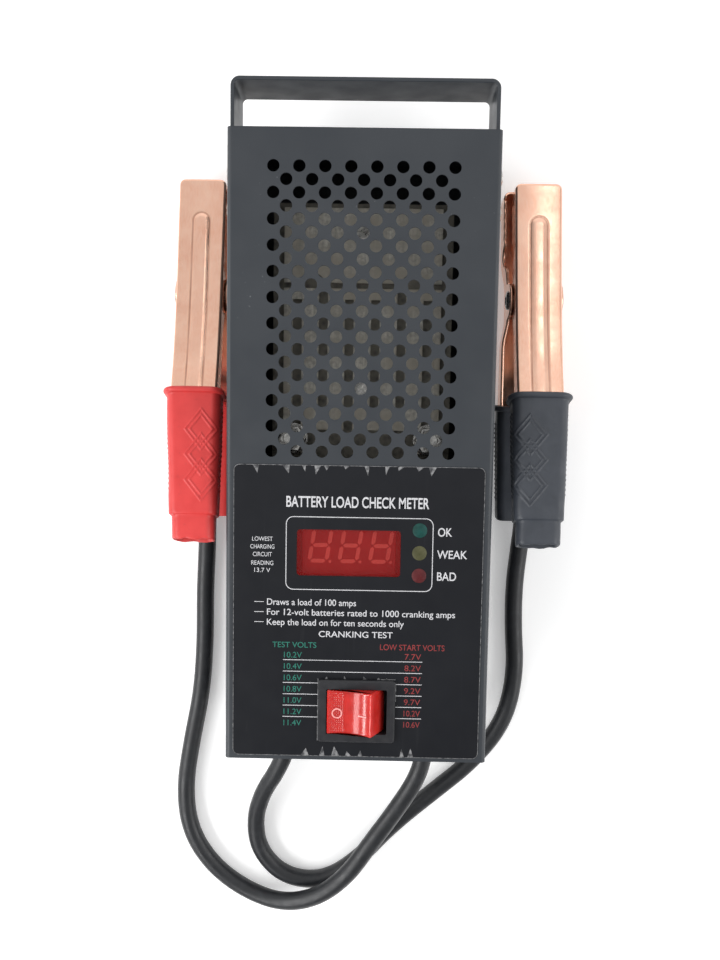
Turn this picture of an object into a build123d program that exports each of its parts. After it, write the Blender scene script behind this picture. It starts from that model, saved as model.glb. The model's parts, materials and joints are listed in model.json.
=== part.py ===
"""Hand-held battery load tester: a perforated sheet-steel box that lies on its back, with a
strap handle, a label with a digital display, a rocker switch and two leads that end in clamps.

Frame: origin at the centre of the back's resting face, +Z out of the front panel,
+Y towards the carrying handle, +X to the right of the front panel. Millimetres.
"""
from build123d import *
import math
import os

# ---- driving dimensions -------------------------------------------------------------------
BOX_W = 106.0
BOX_L = 250.0
BOX_D = 62.0
SHEET = 1.0
BEND_R = 2.0

HANDLE_RISE = 19.5
HANDLE_STRAP_W = 25.0
HANDLE_STRAP_T = 1.5
HANDLE_BEND_R = 3.5
HANDLE_LEG_IN = 36.0

VENT_PITCH = 10.0
VENT_D = 4.8
VENT_ROWS = 23
VENT_TOP_Y = 110.5

LABEL_W = 99.6
LABEL_L = 118.6
LABEL_T = 0.3
LABEL_Y = -64.1
LABEL_CORNER_R = 2.4

WINDOW_X = -3.8
WINDOW_Y = -39.8
WINDOW_W = 41.4
WINDOW_H = 18.6
LED_X = 24.4
LED_YS = {"led_green": -30.2, "led_yellow": -39.3, "led_red": -48.4}
LED_D = 5.8

MODULE_W = 37.6
MODULE_H = 19.0

SWITCH_X = 0.3
SWITCH_Y = -104.1
SWITCH_CUT_W = 28.0
SWITCH_CUT_H = 22.0
SWITCH_CUT_R = 0.8
BEZEL_W = 31.0
BEZEL_H = 25.6
BEZEL_T = 2.0
ROCKER_OPEN_W = 24.4
ROCKER_OPEN_H = 18.4
ROCKER_TILT = 14.0
ROCKER_PIVOT_BELOW_BEZEL = 8.9

BOARD_Z = 50.0
BOARD_T = 1.6
LOAD_BOARD_Z = 42.0
LOAD_BOARD_T = 2.0
SLOT_PITCH = 10.6

CABLE_D = 8.0
CABLE_EXIT_X = 31.0
CABLE_EXIT_Z = 22.0

CLAMP_X = {"red": -69.6, "black": 74.3}
CLAMP_PIVOT_Y = 65.0
COPPER_T = 1.2
GRIP_T = 1.6
JAW_NOSE = 48.0
UPPER_W = 19.2
LOWER_W = 22.2
HANDLE_DEPTH = 10.4
PIN_D = 5.0
PIN_PLAY = 0.05
PIN_HEAD_D = 8.6
PIN_HEAD_H = 1.4

FRONT_Z = BOX_D
INNER_Z = BOX_D - SHEET
HALF_W = BOX_W / 2
HALF_L = BOX_L / 2


# ---- helpers ------------------------------------------------------------------------------
def block(x0, x1, y0, y1, z0, z1):
    """Box between two corners."""
    centre = Pos((x0 + x1) / 2, (y0 + y1) / 2, (z0 + z1) / 2)
    return centre * Box(x1 - x0, y1 - y0, z1 - z0)


def rod_z(x, y, z0, z1, diameter):
    """Upright cylinder."""
    return Pos(x, y, (z0 + z1) / 2) * Cylinder(diameter / 2, z1 - z0)


def rod_x(y, z, x0, x1, diameter):
    """Cylinder along X."""
    return Pos((x0 + x1) / 2, y, z) * Rot(0, 90, 0) * Cylinder(diameter / 2, x1 - x0)


def rod_y(x, z, y0, y1, diameter):
    """Cylinder along Y."""
    return Pos(x, (y0 + y1) / 2, z) * Rot(90, 0, 0) * Cylinder(diameter / 2, y1 - y0)


def plate_z(x, y, z0, z1, width, height, corner):
    """Upright prism on a rounded rectangle."""
    outline = RectangleRounded(width, height, corner)
    return Pos(x, y, z0) * extrude(outline, z1 - z0)


def hex_z(x, y, z0, z1, across_flats):
    """Upright hexagonal prism."""
    outline = RegularPolygon(across_flats / math.sqrt(3), 6)
    return Pos(x, y, z0) * extrude(outline, z1 - z0)


def side_prism(points, width):
    """Prism along X, centred on X = 0, on an outline of (y, z) points."""
    outline = Plane.YZ * make_face(Polyline(*points, close=True))
    return extrude(outline, width / 2, both=True)


def save(shape, node):
    """One STEP file for each node."""
    export_step(shape, f"parts/{node}.step")


def group(solids):
    """Several separate solids in one node."""
    return Compound(children=list(solids))


def cord_tube(points, diameter, label):
    """Plain tube along straight runs joined by tangent arcs; prints its radii and length."""
    points = [Vector(*p) for p in points]
    runs = [b - a for a, b in zip(points, points[1:])]
    radii = []
    for before, after in zip(runs, runs[1:]):
        turn = math.radians(before.get_angle(after))
        radii.append(0.45 * min(before.length, after.length) / math.tan(turn / 2))
    path = FilletPolyline(*points, radius=radii)
    section = Plane(origin=path @ 0, z_dir=path % 0) * Circle(diameter / 2)
    tube = sweep(section, path=path)
    ideal = math.pi * diameter ** 2 / 4 * path.length
    print(label, "length", round(path.length, 1), "smallest radius", round(min(radii), 1))
    print("   radii", [round(r) for r in radii], "volume / ideal", round(tube.volume / ideal, 4))
    return tube


# ---- housing ------------------------------------------------------------------------------
def vent_centres():
    """Staggered rows: eight holes, then seven, half a pitch apart."""
    centres = []
    for row in range(VENT_ROWS):
        count = 8 - row % 2
        y = VENT_TOP_Y - row * VENT_PITCH / 2
        for i in range(count):
            centres.append(((i - (count - 1) / 2) * VENT_PITCH, y))
    return centres


COVER_SCREW_YS = (-105.0, 0.0, 88.0)
COVER_SCREW_Z = 7.0
COVER_SCREW_D = 3.0
HANDLE_SCREW_YS = (96.0, 110.0)
HANDLE_SCREW_D = 4.0
HANDLE_NUT_FLATS = 7.0
HANDLE_NUT_H = 3.0
FLANGE_H = 14.0
BACK_SLOT_X = 20.0
BACK_SLOT_Y = 98.0
BACK_SLOT_ROWS = 12
BACK_SLOT_PITCH = 8.0
BACK_SLOT_L = 28.0
BACK_SLOT_W = 3.0
HANDLE_TOP_Z = INNER_Z - 1.2
HANDLE_MID_Z = HANDLE_TOP_Z - HANDLE_STRAP_W / 2


def side_screw_holes(ys, z, diameter, depth):
    """Cylinders through both side walls, reaching inwards by depth."""
    inner = HALF_W - depth
    holes = [rod_x(y, z, inner, HALF_W + 1, diameter) for y in ys]
    holes += [rod_x(y, z, -HALF_W - 1, -inner, diameter) for y in ys]
    return holes


def front_cover():
    """Front panel and both side walls, bent from one sheet."""
    outer = Pos(0, BOX_D / 2) * Rectangle(BOX_W, BOX_D)
    outer = fillet(outer.vertices().group_by(Axis.Y)[-1], BEND_R)
    inner = Pos(0, INNER_Z / 2) * Rectangle(BOX_W - 2 * SHEET, INNER_Z)
    inner = fillet(inner.vertices().group_by(Axis.Y)[-1], BEND_R - SHEET)
    channel = Plane.XZ * (outer - inner)
    cover = extrude(channel, BOX_L / 2, both=True)
    holes = [rod_z(x, y, INNER_Z - 1, FRONT_Z + 1, VENT_D) for x, y in vent_centres()]
    cover -= holes
    cover -= plate_z(WINDOW_X, WINDOW_Y, INNER_Z - 1, FRONT_Z + 1, WINDOW_W + 0.4, WINDOW_H + 0.4, 1.6)
    cover -= [rod_z(LED_X, y, INNER_Z - 1, FRONT_Z + 1, LED_D + 0.4) for y in LED_YS.values()]
    switch_cut = (SWITCH_CUT_W, SWITCH_CUT_H, SWITCH_CUT_R)
    cover -= plate_z(SWITCH_X, SWITCH_Y, INNER_Z - 1, FRONT_Z + 1, *switch_cut)
    cover -= side_screw_holes(COVER_SCREW_YS, COVER_SCREW_Z, COVER_SCREW_D, 2)
    cover -= side_screw_holes(HANDLE_SCREW_YS, HANDLE_MID_Z, HANDLE_SCREW_D, 2)
    return cover


def rear_cover():
    """Back panel, both end walls and two screw flanges, bent from one sheet."""
    half = HALF_W - SHEET
    back = block(-half, half, -HALF_L, HALF_L, 0, SHEET)
    back += block(-half, half, HALF_L - SHEET, HALF_L, SHEET, INNER_Z)
    back += block(-half, half, -HALF_L, -HALF_L + SHEET, SHEET, INNER_Z)
    flange_l = HALF_L - 6
    back += block(half - SHEET, half, -flange_l, flange_l, SHEET, FLANGE_H)
    back += block(-half, -half + SHEET, -flange_l, flange_l, SHEET, FLANGE_H)
    for side in (-1, 1):
        leg_x = side * half
        notch = block(min(leg_x, leg_x - side * 3), max(leg_x, leg_x - side * 3),
                      HALF_L - 2, HALF_L + 1, HANDLE_TOP_Z - HANDLE_STRAP_W - 0.5, INNER_Z + 1)
        back -= notch
        relief = block(min(leg_x, leg_x - side * 2), max(leg_x, leg_x - side * 2),
                       -HALF_L - 1, -HALF_L + 2, INNER_Z - 2, INNER_Z + 1)
        back -= relief
        back -= rod_y(side * CABLE_EXIT_X, CABLE_EXIT_Z, -HALF_L - 1, -HALF_L + 2, GROMMET_NECK_D)
    slots = []
    for row in range(BACK_SLOT_ROWS):
        y = BACK_SLOT_Y - row * BACK_SLOT_PITCH
        for column in (-1, 1):
            slots.append(plate_z(column * BACK_SLOT_X, y, -1, SHEET + 1, BACK_SLOT_L, BACK_SLOT_W, 1.4))
    back -= slots
    back -= side_screw_holes(COVER_SCREW_YS, COVER_SCREW_Z, COVER_SCREW_D, 3)
    for y in PILLAR_YS:
        back -= rod_z(0, y, -1, SHEET + 1, LOAD_SCREW_D)
    return back


def carry_handle():
    """Flat steel strap bent to a U, its legs inside the side walls."""
    half = HALF_W - SHEET
    top = HALF_L + HANDLE_RISE
    foot = HALF_L - HANDLE_LEG_IN
    outer = Pos(0, (top + foot) / 2) * Rectangle(2 * half, top - foot)
    outer = fillet(outer.vertices().group_by(Axis.Y)[-1], HANDLE_BEND_R)
    inner_top = top - HANDLE_STRAP_T
    inner = Pos(0, (inner_top + foot) / 2) * Rectangle(2 * (half - HANDLE_STRAP_T), inner_top - foot)
    inner = fillet(inner.vertices().group_by(Axis.Y)[-1], HANDLE_BEND_R - HANDLE_STRAP_T)
    strap = Pos(0, 0, HANDLE_TOP_Z - HANDLE_STRAP_W) * extrude(outer - inner, HANDLE_STRAP_W)
    strap -= side_screw_holes(HANDLE_SCREW_YS, HANDLE_MID_Z, HANDLE_SCREW_D, 4)
    return strap


def side_screws(ys, z, shank_d, head_d, head_h, length):
    """Pan-head screws through both side walls."""
    screws = []
    for y in ys:
        for side in (-1, 1):
            shank = rod_x(y, z, *sorted((side * HALF_W, side * (HALF_W - length))), shank_d)
            head = rod_x(y, z, *sorted((side * HALF_W, side * (HALF_W + head_h))), head_d)
            rim = head.edges().filter_by(GeomType.CIRCLE).sort_by(Axis.X)[-1 if side > 0 else 0]
            screws.append(fillet(rim, head_h * 0.45) + shank)
    return group(screws)


def handle_nuts():
    """Hexagon nuts behind the strap's legs."""
    nuts = []
    outline = RegularPolygon(HANDLE_NUT_FLATS / math.sqrt(3), 6) - Circle(HANDLE_SCREW_D / 2)
    for y in HANDLE_SCREW_YS:
        for side in (-1, 1):
            face_x = side * (HALF_W - SHEET - HANDLE_STRAP_T)
            plane = Plane(origin=(face_x, y, HANDLE_MID_Z), x_dir=(0, 1, 0), z_dir=(-side, 0, 0))
            nuts.append(extrude(plane * outline, HANDLE_NUT_H))
    return group(nuts)


# ---- front panel pieces -------------------------------------------------------------------
def front_label():
    """Thin plastic overlay on the lower half of the front panel."""
    label = plate_z(0, LABEL_Y, FRONT_Z, FRONT_Z + LABEL_T, LABEL_W, LABEL_L, LABEL_CORNER_R)
    label -= plate_z(WINDOW_X, WINDOW_Y, FRONT_Z - 1, FRONT_Z + 1, WINDOW_W, WINDOW_H, 1.4)
    label -= [rod_z(LED_X, y, FRONT_Z - 1, FRONT_Z + 1, LED_D + 0.1) for y in LED_YS.values()]
    switch_cut = (SWITCH_CUT_W, SWITCH_CUT_H, SWITCH_CUT_R)
    label -= plate_z(SWITCH_X, SWITCH_Y, FRONT_Z - 1, FRONT_Z + 1, *switch_cut)
    return label


FILTER_BACK_Z = INNER_Z - 1.4


def display_filter():
    """Red window: a flange behind the panel and a plateau that fills the cut-out."""
    flange = plate_z(WINDOW_X, WINDOW_Y, FILTER_BACK_Z, INNER_Z, WINDOW_W + 5, WINDOW_H + 5, 1)
    plateau = plate_z(WINDOW_X, WINDOW_Y, INNER_Z, FRONT_Z + 0.2, WINDOW_W - 0.1, WINDOW_H - 0.1, 1.3)
    return flange + plateau


def display_module():
    """Three-digit seven-segment display block on the circuit board."""
    return plate_z(WINDOW_X, WINDOW_Y, BOARD_Z + BOARD_T, FILTER_BACK_Z - 0.2, MODULE_W, MODULE_H, 0.4)


LED_DOME_R = 9.0
LED_DOME_H = 0.5
LED_LEG_PITCH = 2.54
LED_LEG_HALF_W = 0.25
LED_STAND = 1.4


def led(y):
    """Round indicator lamp with a rim and two legs."""
    foot_z = BOARD_Z + BOARD_T + LED_STAND
    body = rod_z(LED_X, y, foot_z, FRONT_Z + LABEL_T, LED_D)
    body += rod_z(LED_X, y, foot_z, foot_z + 1, LED_D + 0.8)
    dome_centre = FRONT_Z + LABEL_T + LED_DOME_H - LED_DOME_R
    cap = Pos(LED_X, y, dome_centre) * Sphere(LED_DOME_R)
    body += cap & rod_z(LED_X, y, FRONT_Z + LABEL_T - 0.2, FRONT_Z + LABEL_T + 1, LED_D)
    for side in (-1, 1):
        x0 = LED_X + side * LED_LEG_PITCH / 2 - LED_LEG_HALF_W
        leg_y = (y - LED_LEG_HALF_W, y + LED_LEG_HALF_W)
        body += block(x0, x0 + 2 * LED_LEG_HALF_W, *leg_y, BOARD_Z + BOARD_T, foot_z + 0.2)
    return body


BOARD_HALF_W = 42.0
BOARD_Y0 = -59.0
BOARD_Y1 = -21.0
STANDOFF_XS = (-38.0, 38.0)
STANDOFF_YS = (-55.0, -25.0)
STANDOFF_FLATS = 5.5
BOARD_SCREW_D = 3.0
BOARD_SCREW_HEAD_D = 5.6


def standoff_places():
    """The four fixing points of the circuit board."""
    return [(x, y) for x in STANDOFF_XS for y in STANDOFF_YS]


def circuit_board():
    """Board that carries the display and the lamps."""
    board = block(-BOARD_HALF_W, BOARD_HALF_W, BOARD_Y0, BOARD_Y1, BOARD_Z, BOARD_Z + BOARD_T)
    return board - [rod_z(x, y, BOARD_Z - 1, BOARD_Z + 3, BOARD_SCREW_D) for x, y in standoff_places()]


def board_standoffs():
    """Hexagonal spacers pressed to the inside of the front panel."""
    spacers = []
    for x, y in standoff_places():
        spacer = hex_z(x, y, BOARD_Z + BOARD_T, INNER_Z, STANDOFF_FLATS)
        spacers.append(spacer - rod_z(x, y, BOARD_Z, BOARD_Z + BOARD_T + 5, BOARD_SCREW_D))
    return group(spacers)


def board_screws():
    """Screws that hold the circuit board to its spacers."""
    screws = []
    for x, y in standoff_places():
        head = rod_z(x, y, BOARD_Z - 2, BOARD_Z, BOARD_SCREW_HEAD_D)
        screws.append(head + rod_z(x, y, BOARD_Z, BOARD_Z + BOARD_T + 5, BOARD_SCREW_D))
    return group(screws)


def board_components():
    """Converter chip, capacitor, trimmer and regulator on the back of the board."""
    top = BOARD_Z
    chip = block(-12, 8, -44, -37.5, top - 4, top)
    capacitor = rod_z(20, -34, top - 11, top, 8)
    trimmer = block(-28, -18, -51, -41, top - 5, top)
    regulator = block(14, 24, -52, -47.5, top - 9, top)
    return group([chip, capacitor, trimmer, regulator])


# ---- rocker switch ------------------------------------------------------------------------
BEZEL_Z = FRONT_Z + LABEL_T
SWITCH_BODY_W = 27.6
SWITCH_BODY_H = 21.6
SWITCH_BODY_DEPTH = 24.0
PIVOT_Z = BEZEL_Z + BEZEL_T - ROCKER_PIVOT_BELOW_BEZEL
STUB_D = 3.0
STUB_L = 1.2
WELL_BELOW_PIVOT = 5.0


def switch_housing():
    """Bezel and body, open at the top for the rocker."""
    bezel = plate_z(SWITCH_X, SWITCH_Y, BEZEL_Z, BEZEL_Z + BEZEL_T, BEZEL_W, BEZEL_H, 1.2)
    bezel = chamfer(bezel.faces().sort_by(Axis.Z)[-1].edges(), 0.6)
    body_z0 = BEZEL_Z - SWITCH_BODY_DEPTH
    body = plate_z(SWITCH_X, SWITCH_Y, body_z0, BEZEL_Z, SWITCH_BODY_W, SWITCH_BODY_H, 0.8)
    shell = bezel + body
    well_z = PIVOT_Z - WELL_BELOW_PIVOT
    shell -= plate_z(SWITCH_X, SWITCH_Y, well_z, BEZEL_Z + 5, ROCKER_OPEN_W, ROCKER_OPEN_H, 0.6)
    reach = SWITCH_BODY_H / 2 - 0.3
    bore_d = STUB_D + 2 * PIN_PLAY
    return shell - rod_y(SWITCH_X, PIVOT_Z, SWITCH_Y - reach, SWITCH_Y + reach, bore_d)


ROCKER_CREST_X = 9.2
ROCKER_CREST_Z = 12.2
ROCKER_DIP_Z = 10.2
ROCKER_END_X = 11.95
ROCKER_END_Z = 1.5
ROCKER_FOOT_X = 10.8
ROCKER_FOOT_Z = -2.0
ROCKER_SIDE_GAP = 0.2


def rocker():
    """Rocker with a dished top, tilted so that its left end is down."""
    crest_r = Vector(ROCKER_CREST_X, 0, ROCKER_CREST_Z)
    end_r = Vector(ROCKER_END_X, 0, ROCKER_END_Z)
    foot_r = Vector(ROCKER_FOOT_X, 0, ROCKER_FOOT_Z)
    mirrored = [Vector(-p.X, 0, p.Z) for p in (crest_r, end_r, foot_r)]
    top = ThreePointArc(mirrored[0], Vector(0, 0, ROCKER_DIP_Z), crest_r)
    rest = Polyline(crest_r, end_r, foot_r, mirrored[2], mirrored[1], mirrored[0])
    outline = make_face([top, rest])
    half = ROCKER_OPEN_H / 2 - ROCKER_SIDE_GAP
    key = extrude(outline, half, both=True)
    crests = key.edges().filter_by(Axis.Y).group_by(Axis.Z)[-1]
    key = fillet(crests, 0.8)
    key += rod_y(0, 0, -half - STUB_L, half + STUB_L, STUB_D)
    return Pos(SWITCH_X, SWITCH_Y, PIVOT_Z) * Rot(0, -ROCKER_TILT, 0) * key


BLADE_TOP = BEZEL_Z - SWITCH_BODY_DEPTH
BLADE_LOW = BLADE_TOP - 9.0
BLADE_X = 7.0
BLADE_Y = 5.0
BLADE_T = 0.8
BLADE_W = 6.3


def switch_terminals():
    """Four flat blades under the switch body."""
    blades = []
    for x in (-BLADE_X, BLADE_X):
        for y in (-BLADE_Y, BLADE_Y):
            middle = Pos(SWITCH_X + x, SWITCH_Y + y, (BLADE_LOW + BLADE_TOP) / 2)
            blades.append(middle * Box(BLADE_T, BLADE_W, BLADE_TOP - BLADE_LOW))
    return group(blades)


# ---- load element -------------------------------------------------------------------------
PILLAR_YS = (24.7, 88.0)
BOLT_X = 28.0
BOLT_Y = 5.0
LOAD_TOP = LOAD_BOARD_Z + LOAD_BOARD_T
ELEMENT_T = 0.8
ELEMENT_HALF_W = 32.0
ELEMENT_Y0 = -1.0
ELEMENT_Y1 = 66.0
ELEMENT_GAP = 1.0
ELEMENT_TOP = LOAD_TOP + ELEMENT_GAP + ELEMENT_T
ELEMENT_BODY_Y0 = 8.6
ELEMENT_TAB_W = 9.0
ELEMENT_WEB = 4.5
ELEMENT_SLOT_W = 3.6
SPREADER_Y0 = 68.2
SPREADER_Y1 = 98.0
SPREADER_BAY_X = 20.0
SPREADER_BAY_D = 9.0
INSULATOR_HALF_W = 36.5
INSULATOR_Y0 = -4.0
INSULATOR_Y1 = 100.0
LOAD_SCREW_D = 4.0
LOAD_SCREW_HEAD_D = 7.0
LOAD_SCREW_HEAD_H = 2.2
BOLT_D = 6.0
BOLT_FLATS = 10.0
PILLAR_FLATS = 8.0


def insulator_board():
    """Heat-proof board that carries the load element."""
    board = block(-INSULATOR_HALF_W, INSULATOR_HALF_W, INSULATOR_Y0, INSULATOR_Y1, LOAD_BOARD_Z, LOAD_TOP)
    board -= [rod_z(0, y, 0, BOX_D, LOAD_SCREW_D) for y in PILLAR_YS]
    board -= [rod_z(x, BOLT_Y, 0, BOX_D, BOLT_D) for x in (-BOLT_X, BOLT_X)]
    return board


def board_pillars():
    """Pillars from the back panel to the insulator board."""
    pillars = []
    for y in PILLAR_YS:
        pillar = hex_z(0, y, SHEET, LOAD_BOARD_Z, PILLAR_FLATS)
        pillars.append(pillar - rod_z(0, y, 0, BOX_D, LOAD_SCREW_D))
    return group(pillars)


def element_washers():
    """Spacing washers that hold the metal sheets off the board."""
    washers = []
    for x, y in ((0, PILLAR_YS[0]), (0, PILLAR_YS[1]), (-BOLT_X, BOLT_Y), (BOLT_X, BOLT_Y)):
        hole = LOAD_SCREW_D if x == 0 else BOLT_D
        ring = rod_z(x, y, LOAD_TOP, LOAD_TOP + ELEMENT_GAP, hole + 4)
        washers.append(ring - rod_z(x, y, 0, BOX_D, hole))
    return group(washers)


def load_element():
    """Slotted resistance sheet: the current runs up and down between the slots."""
    z0 = LOAD_TOP + ELEMENT_GAP
    sheet = block(-ELEMENT_HALF_W, ELEMENT_HALF_W, ELEMENT_BODY_Y0, ELEMENT_Y1, z0, ELEMENT_TOP)
    for side in (-1, 1):
        tab_xs = sorted((side * ELEMENT_HALF_W, side * (ELEMENT_HALF_W - ELEMENT_TAB_W)))
        sheet += block(*tab_xs, ELEMENT_Y0, ELEMENT_BODY_Y0 + 1, z0, ELEMENT_TOP)
    open_low = (True, False, True, None, False, True)
    for i, low in enumerate(open_low):
        x = (i - 2.5) * SLOT_PITCH
        y0 = ELEMENT_Y0 - 1 if low else ELEMENT_BODY_Y0 + ELEMENT_WEB
        y1 = ELEMENT_Y1 + 1 if low is False else ELEMENT_Y1 - ELEMENT_WEB
        half = ELEMENT_SLOT_W / 2
        sheet -= block(x - half, x + half, y0, y1, z0 - 1, z0 + 2)
    sheet -= rod_z(0, PILLAR_YS[0], 0, BOX_D, LOAD_SCREW_D)
    sheet -= [rod_z(x, BOLT_Y, 0, BOX_D, BOLT_D) for x in (-BOLT_X, BOLT_X)]
    return sheet


def heat_spreader():
    """Bright metal sheet above the load element, with two rounded bays in its lower edge."""
    z0 = LOAD_TOP + ELEMENT_GAP
    sheet = block(-ELEMENT_HALF_W, ELEMENT_HALF_W, SPREADER_Y0, SPREADER_Y1, z0, ELEMENT_TOP)
    for side in (-1, 1):
        sheet -= rod_z(side * SPREADER_BAY_X, SPREADER_Y0 - 0.6, z0 - 1, z0 + 2, SPREADER_BAY_D)
    return sheet - rod_z(0, PILLAR_YS[1], 0, BOX_D, LOAD_SCREW_D)


def load_screws():
    """Two screws that clamp the metal sheets and the board to the pillars."""
    screws = []
    for y in PILLAR_YS:
        shank = rod_z(0, y, LOAD_BOARD_Z - 8, ELEMENT_TOP, LOAD_SCREW_D)
        head_top = ELEMENT_TOP + LOAD_SCREW_HEAD_H
        head = rod_z(0, y, ELEMENT_TOP, head_top, LOAD_SCREW_HEAD_D)
        head -= block(-LOAD_SCREW_HEAD_D, LOAD_SCREW_HEAD_D, y - 0.5, y + 0.5, head_top - 1, head_top + 1)
        screws.append(shank + head)
    return group(screws)


def pillar_screws():
    """Headless screws from the back panel into the pillars, sunk below its face."""
    screws = []
    for y in PILLAR_YS:
        screws.append(rod_z(0, y, 0.2, 9, LOAD_SCREW_D))
    return group(screws)


LUG_T = 1.6
LUG_D = 13.0
BARREL_D = 9.6
TAB_X = 20.0


def terminal_bolts():
    """Hexagon bolts that join the lugs to the load element."""
    bolts = []
    for x in (-BOLT_X, BOLT_X):
        shank = rod_z(x, BOLT_Y, LOAD_BOARD_Z - LUG_T, ELEMENT_TOP + 8, BOLT_D)
        head_top = LOAD_BOARD_Z - LUG_T
        bolts.append(shank + hex_z(x, BOLT_Y, head_top - 4, head_top, BOLT_FLATS))
    return group(bolts)


def terminal_nuts():
    """Flanged hexagon nuts on the terminal bolts."""
    nuts = []
    for x in (-BOLT_X, BOLT_X):
        nut = rod_z(x, BOLT_Y, ELEMENT_TOP, ELEMENT_TOP + 1.4, LUG_D)
        nut += hex_z(x, BOLT_Y, ELEMENT_TOP + 1.4, ELEMENT_TOP + 6, BOLT_FLATS)
        nuts.append(nut - rod_z(x, BOLT_Y, 0, BOX_D, BOLT_D))
    return group(nuts)


SWITCH_LEAD_D = 3.0
LEAD_END_Y = -18.0
LEAD_END_Z = LOAD_BOARD_Z - LUG_T - 4.4


def ring_lugs():
    """Crimped ring lugs under the insulator board."""
    lugs = []
    top = LOAD_BOARD_Z
    for x in (-BOLT_X, BOLT_X):
        lug = rod_z(x, BOLT_Y, top - LUG_T, top, LUG_D)
        lug += block(x - 4, x + 4, -8, BOLT_Y - 4, top - LUG_T, top)
        tab_xs = sorted((math.copysign(TAB_X - 2, x), math.copysign(BOLT_X - 4, x)))
        lug += block(*tab_xs, BOLT_Y - 2, BOLT_Y + 2, top - LUG_T, top)
        barrel = rod_y(x, LEAD_END_Z, LEAD_END_Y, -5.5, BARREL_D)
        lug += barrel - rod_y(x, LEAD_END_Z, LEAD_END_Y - 1, -8, CABLE_D)
        lugs.append(lug - rod_z(x, BOLT_Y, 0, BOX_D, BOLT_D))
    return group(lugs)


def inner_lead(side):
    """Stretch of a clamp lead inside the housing, from the grommet to its lug."""
    x = side * CABLE_EXIT_X
    route = [
        (x, CABLE_INNER_Y, CABLE_EXIT_Z),
        (x, -98, CABLE_EXIT_Z),
        (x + side * 0.8, -72, 25),
        (x - side, -50, 31),
        (side * BOLT_X, -33, LEAD_END_Z),
        (side * BOLT_X, LEAD_END_Y + 4, LEAD_END_Z),
    ]
    return cord_tube(route, CABLE_D, "inner lead")


def switch_leads():
    """Two insulated wires from the switch blades to the terminal bolts."""
    wires = []
    for side in (-1, 1):
        x = SWITCH_X + side * BLADE_X
        low = BLADE_LOW
        route = [
            (x, SWITCH_Y + 5, low),
            (x, SWITCH_Y + 5, low - 12),
            (x + side * 5, SWITCH_Y + 24, low - 16),
            (x + side * 8, -50, low - 17),
            (side * TAB_X, -12, low - 14),
            (side * TAB_X, BOLT_Y, low - 3),
            (side * TAB_X, BOLT_Y, LOAD_BOARD_Z - LUG_T),
        ]
        wires.append(cord_tube(route, SWITCH_LEAD_D, "switch lead"))
    return group(wires)


# ---- clamp leads --------------------------------------------------------------------------
GROMMET_NECK_D = 11.0
GROMMET_LIP_D = 14.0
GROMMET_LIP_L = 2.0
CABLE_INNER_Y = -HALF_L + 2


def grommet(side):
    """Rubber grommet in the end wall, with a short tapered collar outside."""
    x = side * CABLE_EXIT_X
    wall = -HALF_L
    ring = rod_y(x, CABLE_EXIT_Z, wall, wall + SHEET, GROMMET_NECK_D)
    ring += rod_y(x, CABLE_EXIT_Z, wall + SHEET, wall + SHEET + GROMMET_LIP_L, GROMMET_LIP_D)
    ring += rod_y(x, CABLE_EXIT_Z, wall - GROMMET_LIP_L, wall, GROMMET_LIP_D)
    collar = Pos(x, wall - 3.5, CABLE_EXIT_Z) * Rot(90, 0, 0) * Cone(5.6, 4.8, 3)
    return ring + collar - rod_y(x, CABLE_EXIT_Z, wall - 12, wall + 6, CABLE_D)


RED_ROUTE = [
    (31, -123, 22), (31, -136.5, 22), (27.5, -150, 21.2), (18, -165.5, 20.6), (7, -181, 21),
    (-3.5, -197, 20), (-17, -210, 15.5), (-34, -217, 8.5), (-52, -213, 4.2), (-68, -201, 4),
    (-78.5, -184, 4.05), (-81, -163, 4), (-77.5, -140, 4.05), (-72.8, -116, 4), (-71.3, -92, 4.05),
    (-71.3, -68, 4.2), (-70.2, -49, 5.4), (-69.6, -32, 7.3), (-69.6, -15, 7.8),
]
BLACK_ROUTE = [
    (-31, -123, 22), (-31, -136, 22), (-36, -148.5, 18.5), (-43, -161, 12), (-47.6, -177, 6.2),
    (-45.5, -193.5, 4.1), (-33.5, -206, 4), (-15.5, -208, 4.1), (1, -197.5, 4), (16, -180.5, 4.05),
    (35, -164, 4), (54.5, -147.5, 4.05), (69, -128, 4), (73.5, -104.5, 4.05), (71.6, -81, 4),
    (71.6, -62, 4.3), (72.9, -47, 5.6), (74.2, -32, 7.3), (74.3, -17, 7.8),
]


# ---- clamps -------------------------------------------------------------------------------
# One half is drawn closed, with the hinge axis on X at the origin and the nose towards +Y.
LIP_Y = -44.0
UPPER_END_Y = -96.2
LOWER_END_Y = -95.0
COPPER_END_GAP = 4.0
SLEEVE_L = 10.0
SLEEVE_W = 17.6
NOSE_H = 10.5
PIVOT_H = 12.5
LIP_H = 20.0
HANDLE_SLOPE = 0.165
EAR_R = 7.2
BITE_R = 5.0
BITE_Y = 19.5
TEETH = 5
TEETH_Y = 26.0
TOOTH_LOW = 0.6
TOOTH_HIGH = 2.4
RIB_W = 7.6
RIB_H = 1.0
RIB_Y = 34.0
RIB_END_Y = LIP_Y + 1.6
LIP_FLARE = 1.2
LIP_L = 2.4
FLOOR_GAP = 0.05


def handle_height(y):
    """Height of a handle's outer face over the clamp's mid-plane."""
    return LIP_H + HANDLE_SLOPE * (LIP_Y - y)


GRIP_RUN = JAW_NOSE - LOWER_END_Y
GRIP_DROP = handle_height(LOWER_END_Y) + GRIP_T - NOSE_H
CLAMP_TILT = math.atan2(GRIP_DROP, GRIP_RUN)
CLAMP_PIVOT_Z = JAW_NOSE * math.sin(CLAMP_TILT) + NOSE_H * math.cos(CLAMP_TILT) + FLOOR_GAP


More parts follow.
